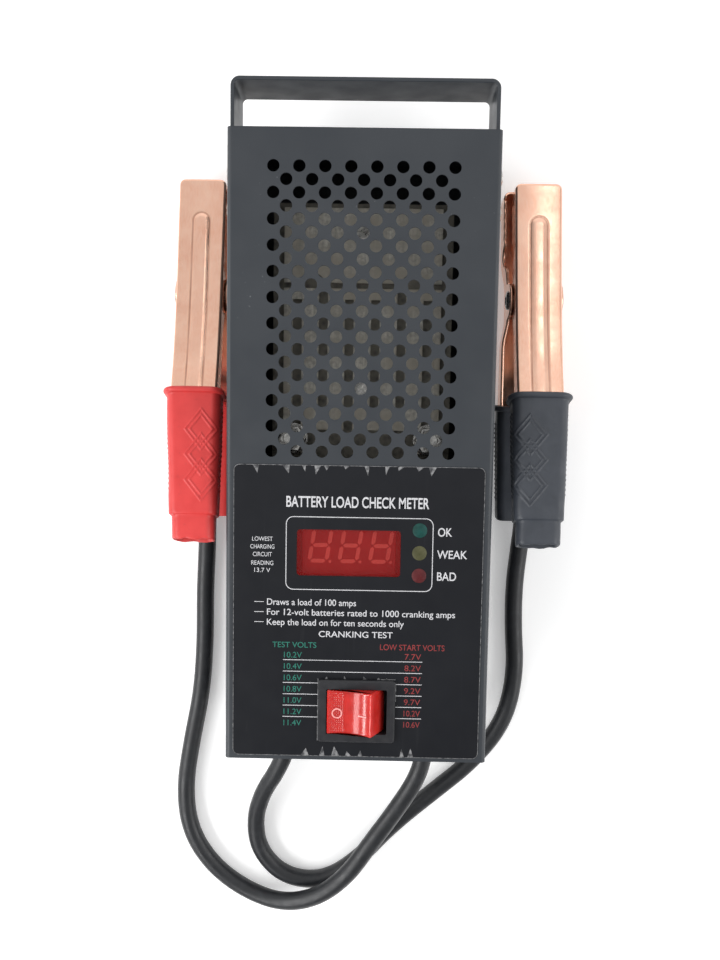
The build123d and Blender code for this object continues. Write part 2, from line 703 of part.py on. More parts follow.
def outer_line(drop):
    """Outer face from the hinge to the lip, seen from the side, moved inwards by drop."""
    line = [(5, PIVOT_H), (-14, 14.2), (-30, 16.6), (LIP_Y, LIP_H)]
    return [(y, z - drop) for y, z in line]


def inner_edge():
    """Inner edge of the side walls from the lip to the nose: ear, bite and teeth."""
    edge = [(LIP_Y, LIP_H - HANDLE_DEPTH), (-16, 6.0), (-9, 3.0), (9, 3.0), (13, 1.0)]
    pitch = (JAW_NOSE - TEETH_Y) / TEETH
    for i in range(TEETH):
        y = TEETH_Y + i * pitch
        edge += [(y, TOOTH_LOW), (y + pitch / 2, TOOTH_HIGH)]
    return edge + [(JAW_NOSE, TOOTH_LOW)]


def half_envelope(width, end_y):
    """One clamp half as a filled bar, before it is hollowed to a channel."""
    top = [(JAW_NOSE, NOSE_H)] + outer_line(0) + [(end_y, handle_height(end_y))]
    return side_prism(top + [(end_y, handle_height(end_y) - HANDLE_DEPTH)] + inner_edge(), width)


def rib_outline():
    """Side view of the raised rib that runs along a half's outer face up to the grip."""
    slope_up = (PIVOT_H - NOSE_H) / (JAW_NOSE - 5)
    start = (RIB_Y, NOSE_H + slope_up * (JAW_NOSE - RIB_Y))
    bends = outer_line(0)
    (y0, z0), (y1, z1) = bends[-2:]
    share = (y0 - RIB_END_Y) / (y0 - y1)
    face = [start] + bends[:-1] + [(RIB_END_Y, z0 + share * (z1 - z0))]
    over = [(y, z + RIB_H) for y, z in face]
    over[0] = (start[0] - RIB_H, start[1] + RIB_H)
    under = [(y, z - RIB_H / 2) for y, z in face]
    return over + under[::-1]


def copper_half(width, end_y, pin_hole_d):
    """Stamped channel with ears, teeth, a bite for round posts and a raised centre rib."""
    copper_end = end_y + COPPER_END_GAP
    half = half_envelope(width, copper_end)
    half += rod_x(0, 0, -width / 2, width / 2, 2 * EAR_R)
    past = copper_end - 5
    hollow = [(JAW_NOSE - COPPER_T, NOSE_H - COPPER_T)] + outer_line(COPPER_T)
    hollow += [(past, handle_height(past) - COPPER_T), (past, -30), (JAW_NOSE - COPPER_T, -30)]
    half -= side_prism(hollow, width - 2 * COPPER_T)
    half -= rod_x(BITE_Y, TOOTH_LOW, -width, width, 2 * BITE_R)
    half -= rod_x(0, 0, -width, width, pin_hole_d)
    return half + side_prism(rib_outline(), RIB_W)


def grip(width, end_y):
    """Moulded sleeve over a handle: rounded box with a flared lip, closed at its far end."""
    slope = Vector(0, -1, HANDLE_SLOPE).normalized()
    middle = Vector(0, LIP_Y, LIP_H - HANDLE_DEPTH / 2)
    length = (LIP_Y - end_y) / abs(slope.Y)
    section = RectangleRounded(width + 2 * GRIP_T, HANDLE_DEPTH + 2 * GRIP_T, 3.0)
    body = extrude(Plane(origin=middle, x_dir=(1, 0, 0), z_dir=slope) * section, length)
    flare = 2 * (GRIP_T + LIP_FLARE)
    lip = RectangleRounded(width + flare, HANDLE_DEPTH + flare, 4.0)
    body += extrude(Plane(origin=middle, x_dir=(1, 0, 0), z_dir=slope) * lip, LIP_L)
    body -= half_envelope(width, end_y + COPPER_END_GAP)
    return body


def upper_grip():
    """Grip of the moving half, with the open sleeve behind its closed end."""
    slope = Vector(0, -1, HANDLE_SLOPE).normalized()
    end = Vector(0, UPPER_END_Y, handle_height(UPPER_END_Y) - HANDLE_DEPTH / 2)
    plane = Plane(origin=end, x_dir=(1, 0, 0), z_dir=slope)
    sleeve = extrude(plane * RectangleRounded(SLEEVE_W, HANDLE_DEPTH, 2.6), SLEEVE_L)
    void = RectangleRounded(SLEEVE_W - 2 * GRIP_T, HANDLE_DEPTH - 2 * GRIP_T, 1.6)
    sleeve -= extrude(plane.offset(1.0) * void, SLEEVE_L)
    return grip(UPPER_W, UPPER_END_Y) + sleeve


def pivot_pin():
    """Rivet through both halves, headed outside the lower half's ears."""
    reach = LOWER_W / 2
    pin = rod_x(0, 0, -reach, reach, PIN_D)
    for side in (-1, 1):
        head = rod_x(0, 0, *sorted((side * reach, side * (reach + PIN_HEAD_H))), PIN_HEAD_D)
        rim = head.edges().filter_by(GeomType.CIRCLE).sort_by(Axis.X)[-1 if side > 0 else 0]
        pin += fillet(rim, 0.6)
    return pin


SPRING_WIRE_D = 1.6
SPRING_R = 4.6
SPRING_HALF_W = 4.75
SPRING_TURNS = 5.5
SPRING_LEG_L = 30.0
CRIMP_SIZE = (9.0, 12.0, 3.4)


def clamp_spring():
    """Torsion spring round the pin, with one leg in each handle."""
    coil = Helix(pitch=2 * SPRING_HALF_W / SPRING_TURNS, height=2 * SPRING_HALF_W, radius=SPRING_R)
    section = Plane(origin=coil @ 0, z_dir=coil % 0) * Circle(SPRING_WIRE_D / 2)
    spring = Pos(-SPRING_HALF_W, 0, 0) * Rot(0, 90, 0) * sweep(section, path=coil)
    legs = []
    for side in (-1, 1):
        start = (side * SPRING_HALF_W, 0.5, side * SPRING_R)
        leg_plane = Plane(origin=start, z_dir=(0, -1, side * 0.2))
        legs.append(Solid.make_cylinder(SPRING_WIRE_D / 2, SPRING_LEG_L, leg_plane))
    return spring + legs


def cable_crimp(end_point):
    """Flattened barrel on the bare end of a lead, inside the lower handle."""
    x, y, z = end_point
    return Pos(x, y + 6.4, z - 0.6) * Box(*CRIMP_SIZE)


def clamp_pieces(colour, route):
    """Every piece of one clamp, laid on the floor with its nose towards +Y."""
    place = Pos(CLAMP_X[colour], CLAMP_PIVOT_Y, CLAMP_PIVOT_Z) * Rot(-math.degrees(CLAMP_TILT), 0, 0)
    lower_copper = mirror(copper_half(LOWER_W, LOWER_END_Y, PIN_D), Plane.XY)
    lower_grip = place * mirror(grip(LOWER_W, LOWER_END_Y), Plane.XY)
    exit_x, exit_y, exit_z = route[-2]
    lower_grip -= rod_y(exit_x, exit_z, exit_y - 12, exit_y + 12, CABLE_D + 0.8)
    return {
        f"{colour}_upper_jaw": place * copper_half(UPPER_W, UPPER_END_Y, PIN_D + 2 * PIN_PLAY),
        f"{colour}_lower_jaw": place * lower_copper,
        f"{colour}_upper_grip": place * upper_grip(),
        f"{colour}_lower_grip": lower_grip,
        f"{colour}_pivot_pin": place * pivot_pin(),
        f"{colour}_spring": place * clamp_spring(),
        f"{colour}_cable_crimp": cable_crimp(route[-1]),
    }


def main():
    """Write every node."""
    os.makedirs("parts", exist_ok=True)
    handle_screw = (HANDLE_SCREW_D, 7.6, 2.2, 7.0)
    cover_screw = (COVER_SCREW_D, 5.6, 1.8, 6.0)
    nodes = {
        "front_cover": front_cover(),
        "rear_cover": rear_cover(),
        "carry_handle": carry_handle(),
        "handle_screws": side_screws(HANDLE_SCREW_YS, HANDLE_MID_Z, *handle_screw),
        "handle_nuts": handle_nuts(),
        "cover_screws": side_screws(COVER_SCREW_YS, COVER_SCREW_Z, *cover_screw),
        "front_label": front_label(),
        "display_filter": display_filter(),
        "display_module": display_module(),
        "circuit_board": circuit_board(),
        "board_standoffs": board_standoffs(),
        "board_screws": board_screws(),
        "board_components": board_components(),
        "switch_housing": switch_housing(),
        "rocker": rocker(),
        "switch_terminals": switch_terminals(),
        "insulator_board": insulator_board(),
        "board_pillars": board_pillars(),
        "pillar_screws": pillar_screws(),
        "element_washers": element_washers(),
        "load_element": load_element(),
        "heat_spreader": heat_spreader(),
        "load_screws": load_screws(),
        "terminal_bolts": terminal_bolts(),
        "terminal_nuts": terminal_nuts(),
        "ring_lugs": ring_lugs(),
        "left_inner_lead": inner_lead(-1),
        "right_inner_lead": inner_lead(1),
        "switch_leads": switch_leads(),
        "left_grommet": grommet(-1),
        "right_grommet": grommet(1),
        "red_clamp_lead": cord_tube(RED_ROUTE, CABLE_D, "red clamp lead"),
        "black_clamp_lead": cord_tube(BLACK_ROUTE, CABLE_D, "black clamp lead"),
    }
    for name, y in LED_YS.items():
        nodes[name] = led(y)
    nodes |= clamp_pieces("red", RED_ROUTE)
    nodes |= clamp_pieces("black", BLACK_ROUTE)
    for name, shape in nodes.items():
        save(shape, name)
    print(len(nodes), "nodes")
    print("hinge height", round(CLAMP_PIVOT_Z, 3), "tilt", round(math.degrees(CLAMP_TILT), 3))


main()
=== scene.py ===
"""Looks of the battery load tester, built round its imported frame.

Sizes are in millimetres, and MM turns them into metres; the camera's and the lights' are in metres.
Pieces are built in the frame of the part: +Z out of the front panel, +Y to the handle.
"""
import json
import math
import random

import bpy
import numpy as np
from mathutils import Matrix, Vector, noise


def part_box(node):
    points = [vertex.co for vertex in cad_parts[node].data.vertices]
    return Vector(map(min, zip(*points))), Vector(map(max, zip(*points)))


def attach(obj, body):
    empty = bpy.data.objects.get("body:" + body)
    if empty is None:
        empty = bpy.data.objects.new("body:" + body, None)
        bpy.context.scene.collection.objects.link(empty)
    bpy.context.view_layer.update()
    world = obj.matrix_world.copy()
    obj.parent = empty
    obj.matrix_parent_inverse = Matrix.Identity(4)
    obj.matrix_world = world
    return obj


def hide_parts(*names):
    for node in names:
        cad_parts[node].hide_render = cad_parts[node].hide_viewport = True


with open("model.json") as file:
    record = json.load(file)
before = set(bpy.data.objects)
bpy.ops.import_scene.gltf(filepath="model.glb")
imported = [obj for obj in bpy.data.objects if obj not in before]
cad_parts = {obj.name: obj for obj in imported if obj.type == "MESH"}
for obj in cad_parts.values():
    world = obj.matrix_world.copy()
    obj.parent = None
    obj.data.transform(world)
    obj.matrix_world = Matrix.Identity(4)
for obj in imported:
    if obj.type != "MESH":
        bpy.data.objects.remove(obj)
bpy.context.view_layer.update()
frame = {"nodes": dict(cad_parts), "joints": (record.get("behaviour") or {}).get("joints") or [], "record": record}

MM = 0.001
SIDES = {"red": -1, "black": 1}
JOINTS = {joint["name"]: joint for joint in frame["joints"]}


# ---- stage: camera, floor, light ----
CAMERA_PLACE = (0.00432, 0.02291, 0.42857)  # metres
CAMERA_ANGLES = (-5.19, 0.716, 0.917)  # degrees
CAMERA_LENS = 34.875


def add_object(name, data):
    """A new object in the scene."""
    thing = bpy.data.objects.new(name, data)
    bpy.context.scene.collection.objects.link(thing)
    return thing


def make_camera():
    """Nearly straight above the object, a little towards the handle."""
    data = bpy.data.cameras.new("camera")
    data.lens = CAMERA_LENS
    data.clip_start = 0.01
    camera = add_object("camera", data)
    camera.location = CAMERA_PLACE
    camera.rotation_euler = [math.radians(a) for a in CAMERA_ANGLES]
    bpy.context.scene.camera = camera
    bpy.context.scene.view_settings.view_transform = "Standard"


def soft_light(name, place, size, power, target=(0, 0, 0.03)):
    """A rectangular softbox that looks at the object; size is its level side and its upright side."""
    data = bpy.data.lights.new(name, "AREA")
    data.shape = "RECTANGLE"
    data.size, data.size_y = size
    data.energy = power
    light = add_object(name, data)
    light.location = place
    light.rotation_euler = (Vector(place) - Vector(target)).to_track_quat("Z", "Y").to_euler()


def set_socket(tree, node, socket, value):
    """Sets an input, or links it when the value is an output."""
    if isinstance(value, bpy.types.NodeSocket):
        tree.links.new(value, node.inputs[socket])
    else:
        node.inputs[socket].default_value = value


def add_node(tree, kind, sockets, **settings):
    """Outputs of a new shader node; sockets gives a value, or the output that feeds it, to each input."""
    node = tree.nodes.new("ShaderNode" + kind)
    for key, value in settings.items():
        setattr(node, key, value)
    for socket, value in sockets.items():
        set_socket(tree, node, socket, value)
    return node.outputs


def map_range(tree, value, low, high, out_low=0.0, out_high=1.0, **settings):
    """Output that maps low..high of a value to out_low..out_high, clamped."""
    sockets = {"From Min": low, "From Max": high, "To Min": out_low, "To Max": out_high, "Value": value}
    return add_node(tree, "MapRange", sockets, **settings)[0]


def make_world(near, far):
    """Slightly patchy studio light, dimmer towards the viewer's end (-Y) than the handle's (+Y)."""
    world = bpy.data.worlds.new("studio")
    world.use_nodes = True
    tree = world.node_tree
    way = add_node(tree, "TexCoord", {})["Generated"]
    along_y = add_node(tree, "SeparateXYZ", {0: way})["Y"]
    level = map_range(tree, along_y, -0.45, 0.3, near, far, interpolation_type="SMOOTHSTEP")
    patches = add_node(tree, "TexNoise", {"Vector": way, "Scale": 1.6, "Detail": 1.0})["Fac"]
    uneven = map_range(tree, patches, 0.35, 0.65, 0.8, 1.2)
    strength = add_node(tree, "Math", {0: level, 1: uneven}, operation="MULTIPLY")[0]
    set_socket(tree, tree.nodes["Background"], "Color", (1, 1, 1, 1))
    set_socket(tree, tree.nodes["Background"], "Strength", strength)
    bpy.context.scene.world = world


def make_floor():
    """Plain pale floor, flat and wide."""
    half = 4.0
    mesh = bpy.data.meshes.new("floor")
    corners = [(-half, -half, 0), (half, -half, 0), (half, half, 0), (-half, half, 0)]
    mesh.from_pydata(corners, [], [(0, 1, 2, 3)])
    mesh.materials.append(FINISHES["pale_floor"])
    add_object("floor", mesh)


# ---- materials ----
FINISHES = {}


class Finish:
    """One material: a Principled shader with textures in the piece's own coordinates."""

    def __init__(self, name, color, roughness=0.5, metallic=0.0, **plain):
        material = bpy.data.materials.new(name)
        material.use_nodes = True
        self.tree = material.node_tree
        self.place = add_node(self.tree, "TexCoord", {})["Object"]
        self.relief = None
        self.shade(Base_Color=(*color, 1), Roughness=roughness, Metallic=metallic, **plain)
        FINISHES[name] = material

    def shade(self, **sockets):
        """Sets sockets of the shader."""
        for key, value in sockets.items():
            set_socket(self.tree, self.tree.nodes["Principled BSDF"], key.replace("_", " "), value)

    def grain(self, size, detail, stretch=(1, 1, 1), distortion=0.0):
        """Noise with spots about size millimetres wide."""
        scale = [1 / s for s in stretch]
        place = add_node(self.tree, "Mapping", {"Scale": scale, "Vector": self.place})[0]
        sockets = {"Vector": place, "Scale": 1 / (size * MM), "Detail": detail, "Distortion": distortion}
        return add_node(self.tree, "TexNoise", sockets)["Fac"]

    def cells(self, size):
        """Cell pattern with cells about size millimetres wide."""
        sockets = {"Vector": self.place, "Scale": 1 / (size * MM)}
        return add_node(self.tree, "TexVoronoi", sockets)["Distance"]

    def from_line(self, along_x, end):
        """Distance, in millimetres, from a line parallel to Y that stops at end."""
        split = add_node(self.tree, "SeparateXYZ", {"Vector": self.place})
        x = self.math("SUBTRACT", self.math("MULTIPLY", split["X"], 1 / MM), along_x)
        y = self.math("SUBTRACT", self.math("MULTIPLY", split["Y"], 1 / MM), end)
        y = self.math("MAXIMUM", y, 0.0)
        squares = self.math("ADD", self.math("MULTIPLY", x, x), self.math("MULTIPLY", y, y))
        return self.math("SQRT", squares, 0.0)

    def span(self, value, *limits):
        """Maps low..high of a value to out_low..out_high, clamped."""
        return map_range(self.tree, value, *limits)

    def spots(self, size, detail, *limits):
        """Grain, spread between limits if they are given."""
        value = self.grain(size, detail)
        return self.span(value, *limits) if limits else value

    def math(self, operation, a, b):
        """One arithmetic step."""
        return add_node(self.tree, "Math", {0: a, 1: b}, operation=operation)[0]

    def mix(self, factor, first, second):
        """Colour between two colours."""
        first, second = (c if isinstance(c, bpy.types.NodeSocket) else (*c, 1) for c in (first, second))
        return add_node(self.tree, "Mix", {0: factor, 6: first, 7: second}, data_type="RGBA")[2]

    def bump(self, height, depth, strength=1.0):
        """Adds relief whose full height is depth millimetres."""
        sockets = {"Strength": strength, "Distance": depth * MM, "Height": height}
        if self.relief is not None:
            sockets["Normal"] = self.relief
        self.relief = add_node(self.tree, "Bump", sockets)[0]
        self.shade(Normal=self.relief)


def mottled(name, base, roughness, metallic, spots, tones, gloss=None, relief=(), **plain):
    """A finish in two tones, with uneven gloss and fine relief.

    spots and gloss are what Finish.spots takes, and relief is rows of depth, strength and grain."""
    f = Finish(name, base, roughness, metallic, **plain)
    f.shade(Base_Color=f.mix(f.spots(*spots), *tones))
    if gloss:
        f.shade(Roughness=f.spots(*gloss))
    for depth, strength, *grain in relief:
        f.bump(f.grain(*grain), depth, strength)
    return f


def housing_paint():
    """Dark blue-grey powder coat: fine orange peel, a few pale rubs here and there."""
    f = Finish("housing_paint", (0.032, 0.036, 0.042), 0.42, Specular_IOR_Level=0.45)
    tone = f.mix(f.spots(28, 4, 0.35, 0.65), (0.029, 0.034, 0.041), (0.035, 0.04, 0.047))
    worn = f.math("MULTIPLY", f.spots(1.1, 2, 0.73, 0.76), f.spots(30, 2, 0.55, 0.65))
    f.shade(Base_Color=f.mix(worn, tone, (0.16, 0.17, 0.18)), Roughness=f.spots(9, 4, 0.3, 0.7, 0.36, 0.48))
    f.bump(f.grain(0.9, 2), 0.035, 0.55)
    f.bump(f.grain(0.25, 1), 0.01, 0.35)


def label_film():
    """Black satin overlay film with a faint haze and hairline scratches."""
    f = mottled("label_film", (0.008, 0.0085, 0.01), 0.3, 0.0, (35, 3, 0.3, 0.7),
                ((0.006, 0.0068, 0.0095), (0.0085, 0.0094, 0.0125)), relief=[(0.006, 0.3, 0.5, 2)],
                Specular_IOR_Level=0.34)
    scratch = f.span(f.grain(1.6, 2, (1, 30, 1), 1.0), 0.66, 0.7)
    satin = f.spots(9, 3, 0.3, 0.7, 0.28, 0.34)
    f.shade(Roughness=f.math("ADD", satin, f.math("MULTIPLY", scratch, 0.08)))


def insulator():
    """Pressed mica board: layered, grey-brown, slightly flaky."""
    f = Finish("insulator", (0.12, 0.11, 0.09), 0.6)
    flakes = f.span(f.cells(2.6), 0.1, 0.6)
    f.shade(Base_Color=f.mix(flakes, (0.085, 0.08, 0.068), (0.16, 0.15, 0.125)),
            Roughness=f.spots(1, 4, 0.3, 0.7, 0.45, 0.75))
    f.bump(f.grain(0.8, 5), 0.06, 0.6)


def element_steel():
    """Rolled resistance sheet: dull, grey-beige, lightly scratched along its length."""
    f = Finish("element_steel", (0.4, 0.38, 0.33), 0.42, 0.75)
    lines = f.span(f.grain(0.7, 5, (1, 24, 1)), 0.3, 0.7)
    tone = f.mix(lines, (0.46, 0.45, 0.4), (0.68, 0.66, 0.6))
    tone = f.mix(f.spots(1.4, 4, 0.42, 0.62, 0.0, 0.55), tone, (0.26, 0.25, 0.23))
    f.shade(Base_Color=f.mix(f.spots(14, 3, 0.4, 0.62), tone, (0.44, 0.41, 0.35)),
            Roughness=f.spots(1.5, 4, 0.3, 0.7, 0.34, 0.55))
    f.bump(lines, 0.012, 0.5)


def copper_plate(name="copper_plate", rib=None):
    """Copper-plated spring steel: satin, faint rolling lines, small dark stains.

    A rib, given as (x, far end, half width), gets painted shade along its foot: a darker band that stands in for
    the shade in the crease beside it."""
    f = Finish(name, (0.86, 0.53, 0.4), 0.3, 1.0)
    lines = f.span(f.grain(0.55, 4, (1, 26, 1)), 0.3, 0.7)
    tone = f.mix(f.spots(11, 4, 0.35, 0.68), (0.93, 0.57, 0.42), (0.86, 0.47, 0.33))
    tone = f.mix(f.math("MULTIPLY", lines, 0.5), tone, (0.93, 0.63, 0.5))
    stains_and_shade = f.math("MULTIPLY", f.spots(1.8, 2, 0.74, 0.8), 0.15)
    if rib:
        x, end, half = rib
        away = f.from_line(x, end - half)
        foot = f.math("MULTIPLY", f.span(away, half - 0.3, half + 0.15),
                      f.span(away, half + 0.3, half + 0.9, 1, 0))
        # painted shade: the foot mask, broken up by noise, darkens the copper in the crease beside the rib
        crease_shade = f.math("MULTIPLY", foot, f.spots(12, 2, 0.3, 0.7, 0.4, 0.8))
        # the small stains and the painted crease shade share one mask from here on
        stains_and_shade = f.math("MAXIMUM", stains_and_shade, crease_shade)
    f.shade(Base_Color=f.mix(stains_and_shade, tone, (0.34, 0.16, 0.1)), Roughness=f.spots(6, 4, 0.3, 0.7, 0.17, 0.27))
    f.bump(lines, 0.006, 0.3)
    f.bump(f.grain(9, 2), 0.12, 0.3)


def soft_vinyl(name, low, high, dirt, roughness):
    """Dip-moulded vinyl: even colour, satin skin, a little grime in patches."""
    f = Finish(name, low, roughness)
    tone = f.mix(f.spots(8, 3, 0.35, 0.65), low, high)
    grime = f.math("MULTIPLY", f.spots(2.4, 5, 0.6, 0.75), 0.25)
    f.shade(Base_Color=f.mix(grime, tone, dirt),
            Roughness=f.spots(3, 4, 0.3, 0.7, roughness - 0.07, roughness + 0.09))
    f.bump(f.grain(0.45, 3), 0.03, 0.5)
    f.bump(f.grain(5, 2), 0.1, 0.35)


def led_lens(name, low, high):
    """Milky coloured lens, unlit, with a slightly uneven tint."""
    mottled(name, low, 0.3, 0.0, (3.5, 2, 0.3, 0.7), (low, high), (1.2, 2, 0.3, 0.7, 0.24, 0.4),
            [(0.01, 0.3, 0.5, 2)], Specular_IOR_Level=0.3)


def plain_print(name, low, high, roughness=0.5):
    """Printed ink: slightly uneven cover."""
    gloss = (0.5, 2, 0.3, 0.7, roughness - 0.08, roughness + 0.08)
    mottled(name, low, roughness, 0.0, (0.7, 3, 0.35, 0.65), (low, high), gloss, [(0.006, 0.5, 0.2, 2)])


def make_finishes():
    """Every finish, by the name of its material slot or of its ink."""
    housing_paint()
    mottled("zinc_steel", (0.62, 0.62, 0.6), 0.28, 1.0, (3, 4, 0.35, 0.65),
            ((0.4, 0.4, 0.39), (0.66, 0.65, 0.62)), (1.2, 4, 0.3, 0.7, 0.18, 0.38), [(0.01, 0.4, 0.4, 3)])
    label_film()
    # Clear red acrylic: what is behind shows dimly through it.
    mottled("red_window", (0.3, 0.008, 0.008), 0.22, 0.0, (7, 3, 0.35, 0.65),
            ((0.28, 0.007, 0.007), (0.33, 0.01, 0.01)), (2.5, 3, 0.3, 0.7, 0.16, 0.3), Alpha=0.36)
    mottled("display_block", (0.14, 0.018, 0.018), 0.45, 0.0, (2, 3),
            ((0.3, 0.016, 0.014), (0.38, 0.024, 0.02)), relief=[(0.01, 0.3, 0.3, 2)])
    board = mottled("board_green", (0.02, 0.12, 0.05), 0.3, 0.0, (4, 5, 0.4, 0.6),
                    ((0.014, 0.09, 0.04), (0.03, 0.15, 0.07)))
    board.bump(board.cells(1.6), 0.02, 0.3)
    mottled("component_black", (0.03, 0.03, 0.032), 0.55, 0.0, (1.5, 4),
            ((0.02, 0.02, 0.022), (0.045, 0.045, 0.047)), relief=[(0.02, 0.5, 0.3, 2)])
    led_lens("led_green_lens", (0.006, 0.042, 0.036), (0.012, 0.075, 0.066))
    led_lens("led_yellow_lens", (0.06, 0.06, 0.026), (0.09, 0.088, 0.042))
    led_lens("led_red_lens", (0.07, 0.01, 0.012), (0.11, 0.018, 0.02))
    mottled("switch_black", (0.014, 0.0145, 0.0175), 0.42, 0.0, (6, 3),
            ((0.011, 0.0115, 0.0145), (0.018, 0.0185, 0.022)), (3, 3, 0.3, 0.7, 0.34, 0.5),
            [(0.02, 0.6, 0.35, 2)])
    # Translucent red plastic with a high gloss.
    mottled("rocker_red", (0.55, 0.018, 0.012), 0.12, 0.0, (5, 3, 0.3, 0.7),
            ((0.5, 0.022, 0.018), (0.62, 0.032, 0.026)), (2, 3, 0.3, 0.7, 0.09, 0.17),
            [(0.012, 0.35, 1.4, 2)], Subsurface_Weight=0.6, Subsurface_Scale=0.005)
    mottled("terminal_brass", (0.7, 0.55, 0.28), 0.3, 1.0, (2, 4),
            ((0.62, 0.47, 0.22), (0.78, 0.62, 0.34)), relief=[(0.01, 0.4, 0.4, 3, (1, 1, 6))])
    insulator()
    element_steel()
    # Soft black cable jacket: satin, with faint drag marks and dust.
    mottled("lead_jacket", (0.012, 0.0125, 0.014), 0.4, 0.0, (3.5, 5, 0.5, 0.8),
            ((0.0105, 0.0118, 0.0142), (0.0195, 0.0215, 0.0255)), (5, 4, 0.3, 0.7, 0.34, 0.5),
            [(0.018, 0.5, 0.5, 3), (0.15, 0.3, 9, 2)])
    mottled("grommet_rubber", (0.015, 0.015, 0.016), 0.65, 0.0, (2, 4),
            ((0.012, 0.012, 0.013), (0.024, 0.024, 0.025)), relief=[(0.03, 0.6, 0.4, 3)])
    copper_plate()
    soft_vinyl("red_vinyl", (0.62, 0.038, 0.036), (0.68, 0.048, 0.045), (0.3, 0.03, 0.03), 0.42)
    soft_vinyl("black_vinyl", (0.034, 0.0395, 0.05), (0.043, 0.049, 0.061), (0.02, 0.02, 0.022), 0.45)
    mottled("spring_steel", (0.4, 0.4, 0.4), 0.3, 1.0, (1.5, 4),
            ((0.3, 0.3, 0.31), (0.5, 0.5, 0.49)), relief=[(0.01, 0.4, 0.3, 3)])
    plain_print("white_print", (0.5, 0.5, 0.52), (0.68, 0.68, 0.7))
    plain_print("green_print", (0.01, 0.13, 0.095), (0.016, 0.19, 0.14))
    plain_print("red_print", (0.2, 0.02, 0.022), (0.3, 0.035, 0.036))
    plain_print("rocker_print", (0.85, 0.3, 0.28), (0.95, 0.42, 0.4), 0.3)
    mottled("segment_pale", (0.95, 0.16, 0.13), 0.5, 0.0, (0.8, 2), ((0.9, 0.14, 0.11), (1.0, 0.2, 0.16)))
    # Pale torn edge of the label film.
    mottled("worn_film", (0.2, 0.2, 0.205), 0.5, 0.0, (1.6, 4, 0.35, 0.65),
            ((0.035, 0.036, 0.04), (0.26, 0.26, 0.265)), relief=[(0.03, 0.6, 0.3, 3)])
    mottled("pale_floor", (0.92, 0.92, 0.92), 0.7, 0.0, (60, 2), ((0.91, 0.91, 0.91), (0.93, 0.93, 0.93)),
            Emission_Color=(1, 1, 1, 1), Emission_Strength=0.27)


# ---- mesh helpers ----
IN_PLACE = Matrix.Identity(4)


def add_piece(name, shape, slot, body="root", place=IN_PLACE, sharp=40, finish=None, replaces=None):
    """A mesh piece from a shape's points, in millimetres, and faces, in a material slot.

    place is applied before the piece rides on its body. Its finish is its slot's unless another is
    named, and replaces names the node that it stands for."""
    points, faces = shape
    mesh = bpy.data.meshes.new(name)
    mesh.from_pydata([place @ (Vector(p) * MM) for p in points], [], faces)
    mesh.materials.append(FINISHES[finish or slot])
    mesh.polygons.foreach_set("use_smooth", [True] * len(mesh.polygons))
    mesh.set_sharp_from_angle(angle=math.radians(sharp))
    mesh.validate()
    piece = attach(add_object(name, mesh), body)
    if replaces:
        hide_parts(replaces)
    return piece


def strip_faces(rows, columns):
    """Quads between successive rows of points, each of which closes on itself."""
    faces = []
    for a in range(0, (rows - 1) * columns, columns):
        for i in range(columns):
            j = (i + 1) % columns
            faces.append((a + i, a + j, a + columns + j, a + columns + i))
    return faces


def capped_strips(rows, columns):
    """The same, with a face over each end."""
    last = (rows - 1) * columns
    return strip_faces(rows, columns) + [tuple(range(columns))[::-1], tuple(range(last, last + columns))]


def circle(radius, steps, x=0.0, y=0.0):
    """Anticlockwise points round a circle."""
    turn = [2 * math.pi * k / steps for k in range(steps)]
    return [(x + radius * math.cos(a), y + radius * math.sin(a)) for a in turn]


def lathe(profile, turns=48, axis="Z", centre=(0, 0, 0)):
    """Points and faces of a (radius, height) profile turned round an axis."""
    points = []
    for radius, height in profile:
        for u, v in circle(radius, turns):
            local = {"Z": (u, v, height), "X": (height, u, v), "Y": (v, height, u)}[axis]
            points.append([c + d for c, d in zip(centre, local)])
    return points, strip_faces(len(profile), turns)


def merge(parts):
    """Joins several (points, faces) into one."""
    points, faces = [], []
    for part_points, part_faces in parts:
        shift = len(points)
        points += [list(p) for p in part_points]
        faces += [tuple(i + shift for i in face) for face in part_faces]
    return points, faces


def prism(outline, low, high):
    """Upright prism on an outline of (x, y) points that runs anticlockwise."""
    n = len(outline)
    points = [(x, y, low) for x, y in outline] + [(x, y, high) for x, y in outline]
    faces = [(i, (i + 1) % n, n + (i + 1) % n, n + i) for i in range(n)]
    return points, faces + [tuple(range(n))[::-1], tuple(range(n, 2 * n))]


def bar(x0, x1, y0, y1, low, high):
    """Upright rectangular prism."""
    return prism([(x0, y0), (x1, y0), (x1, y1), (x0, y1)], low, high)


def rounded_outline(x0, x1, y0, y1, radius, steps=6):
    """Anticlockwise rounded rectangle."""
    corners = [(x1 - radius, y1 - radius, 0), (x0 + radius, y1 - radius, 90),
               (x0 + radius, y0 + radius, 180), (x1 - radius, y0 + radius, 270)]
    outline = []
    for cx, cy, start in corners:
        for k in range(steps + 1):
            a = math.radians(start + 90 * k / steps)
            outline.append((cx + radius * math.cos(a), cy + radius * math.sin(a)))
    return outline


def ring(outer, inner, low, high):
    """Upright ring between two outlines with equally many points."""
    n = len(outer)
    points = [(x, y, z) for z, line in ((low, outer), (high, outer), (high, inner), (low, inner))
              for x, y in line]
    faces = strip_faces(4, n)
    faces += [(3 * n + i, 3 * n + (i + 1) % n, (i + 1) % n, i) for i in range(n)]
    return points, faces


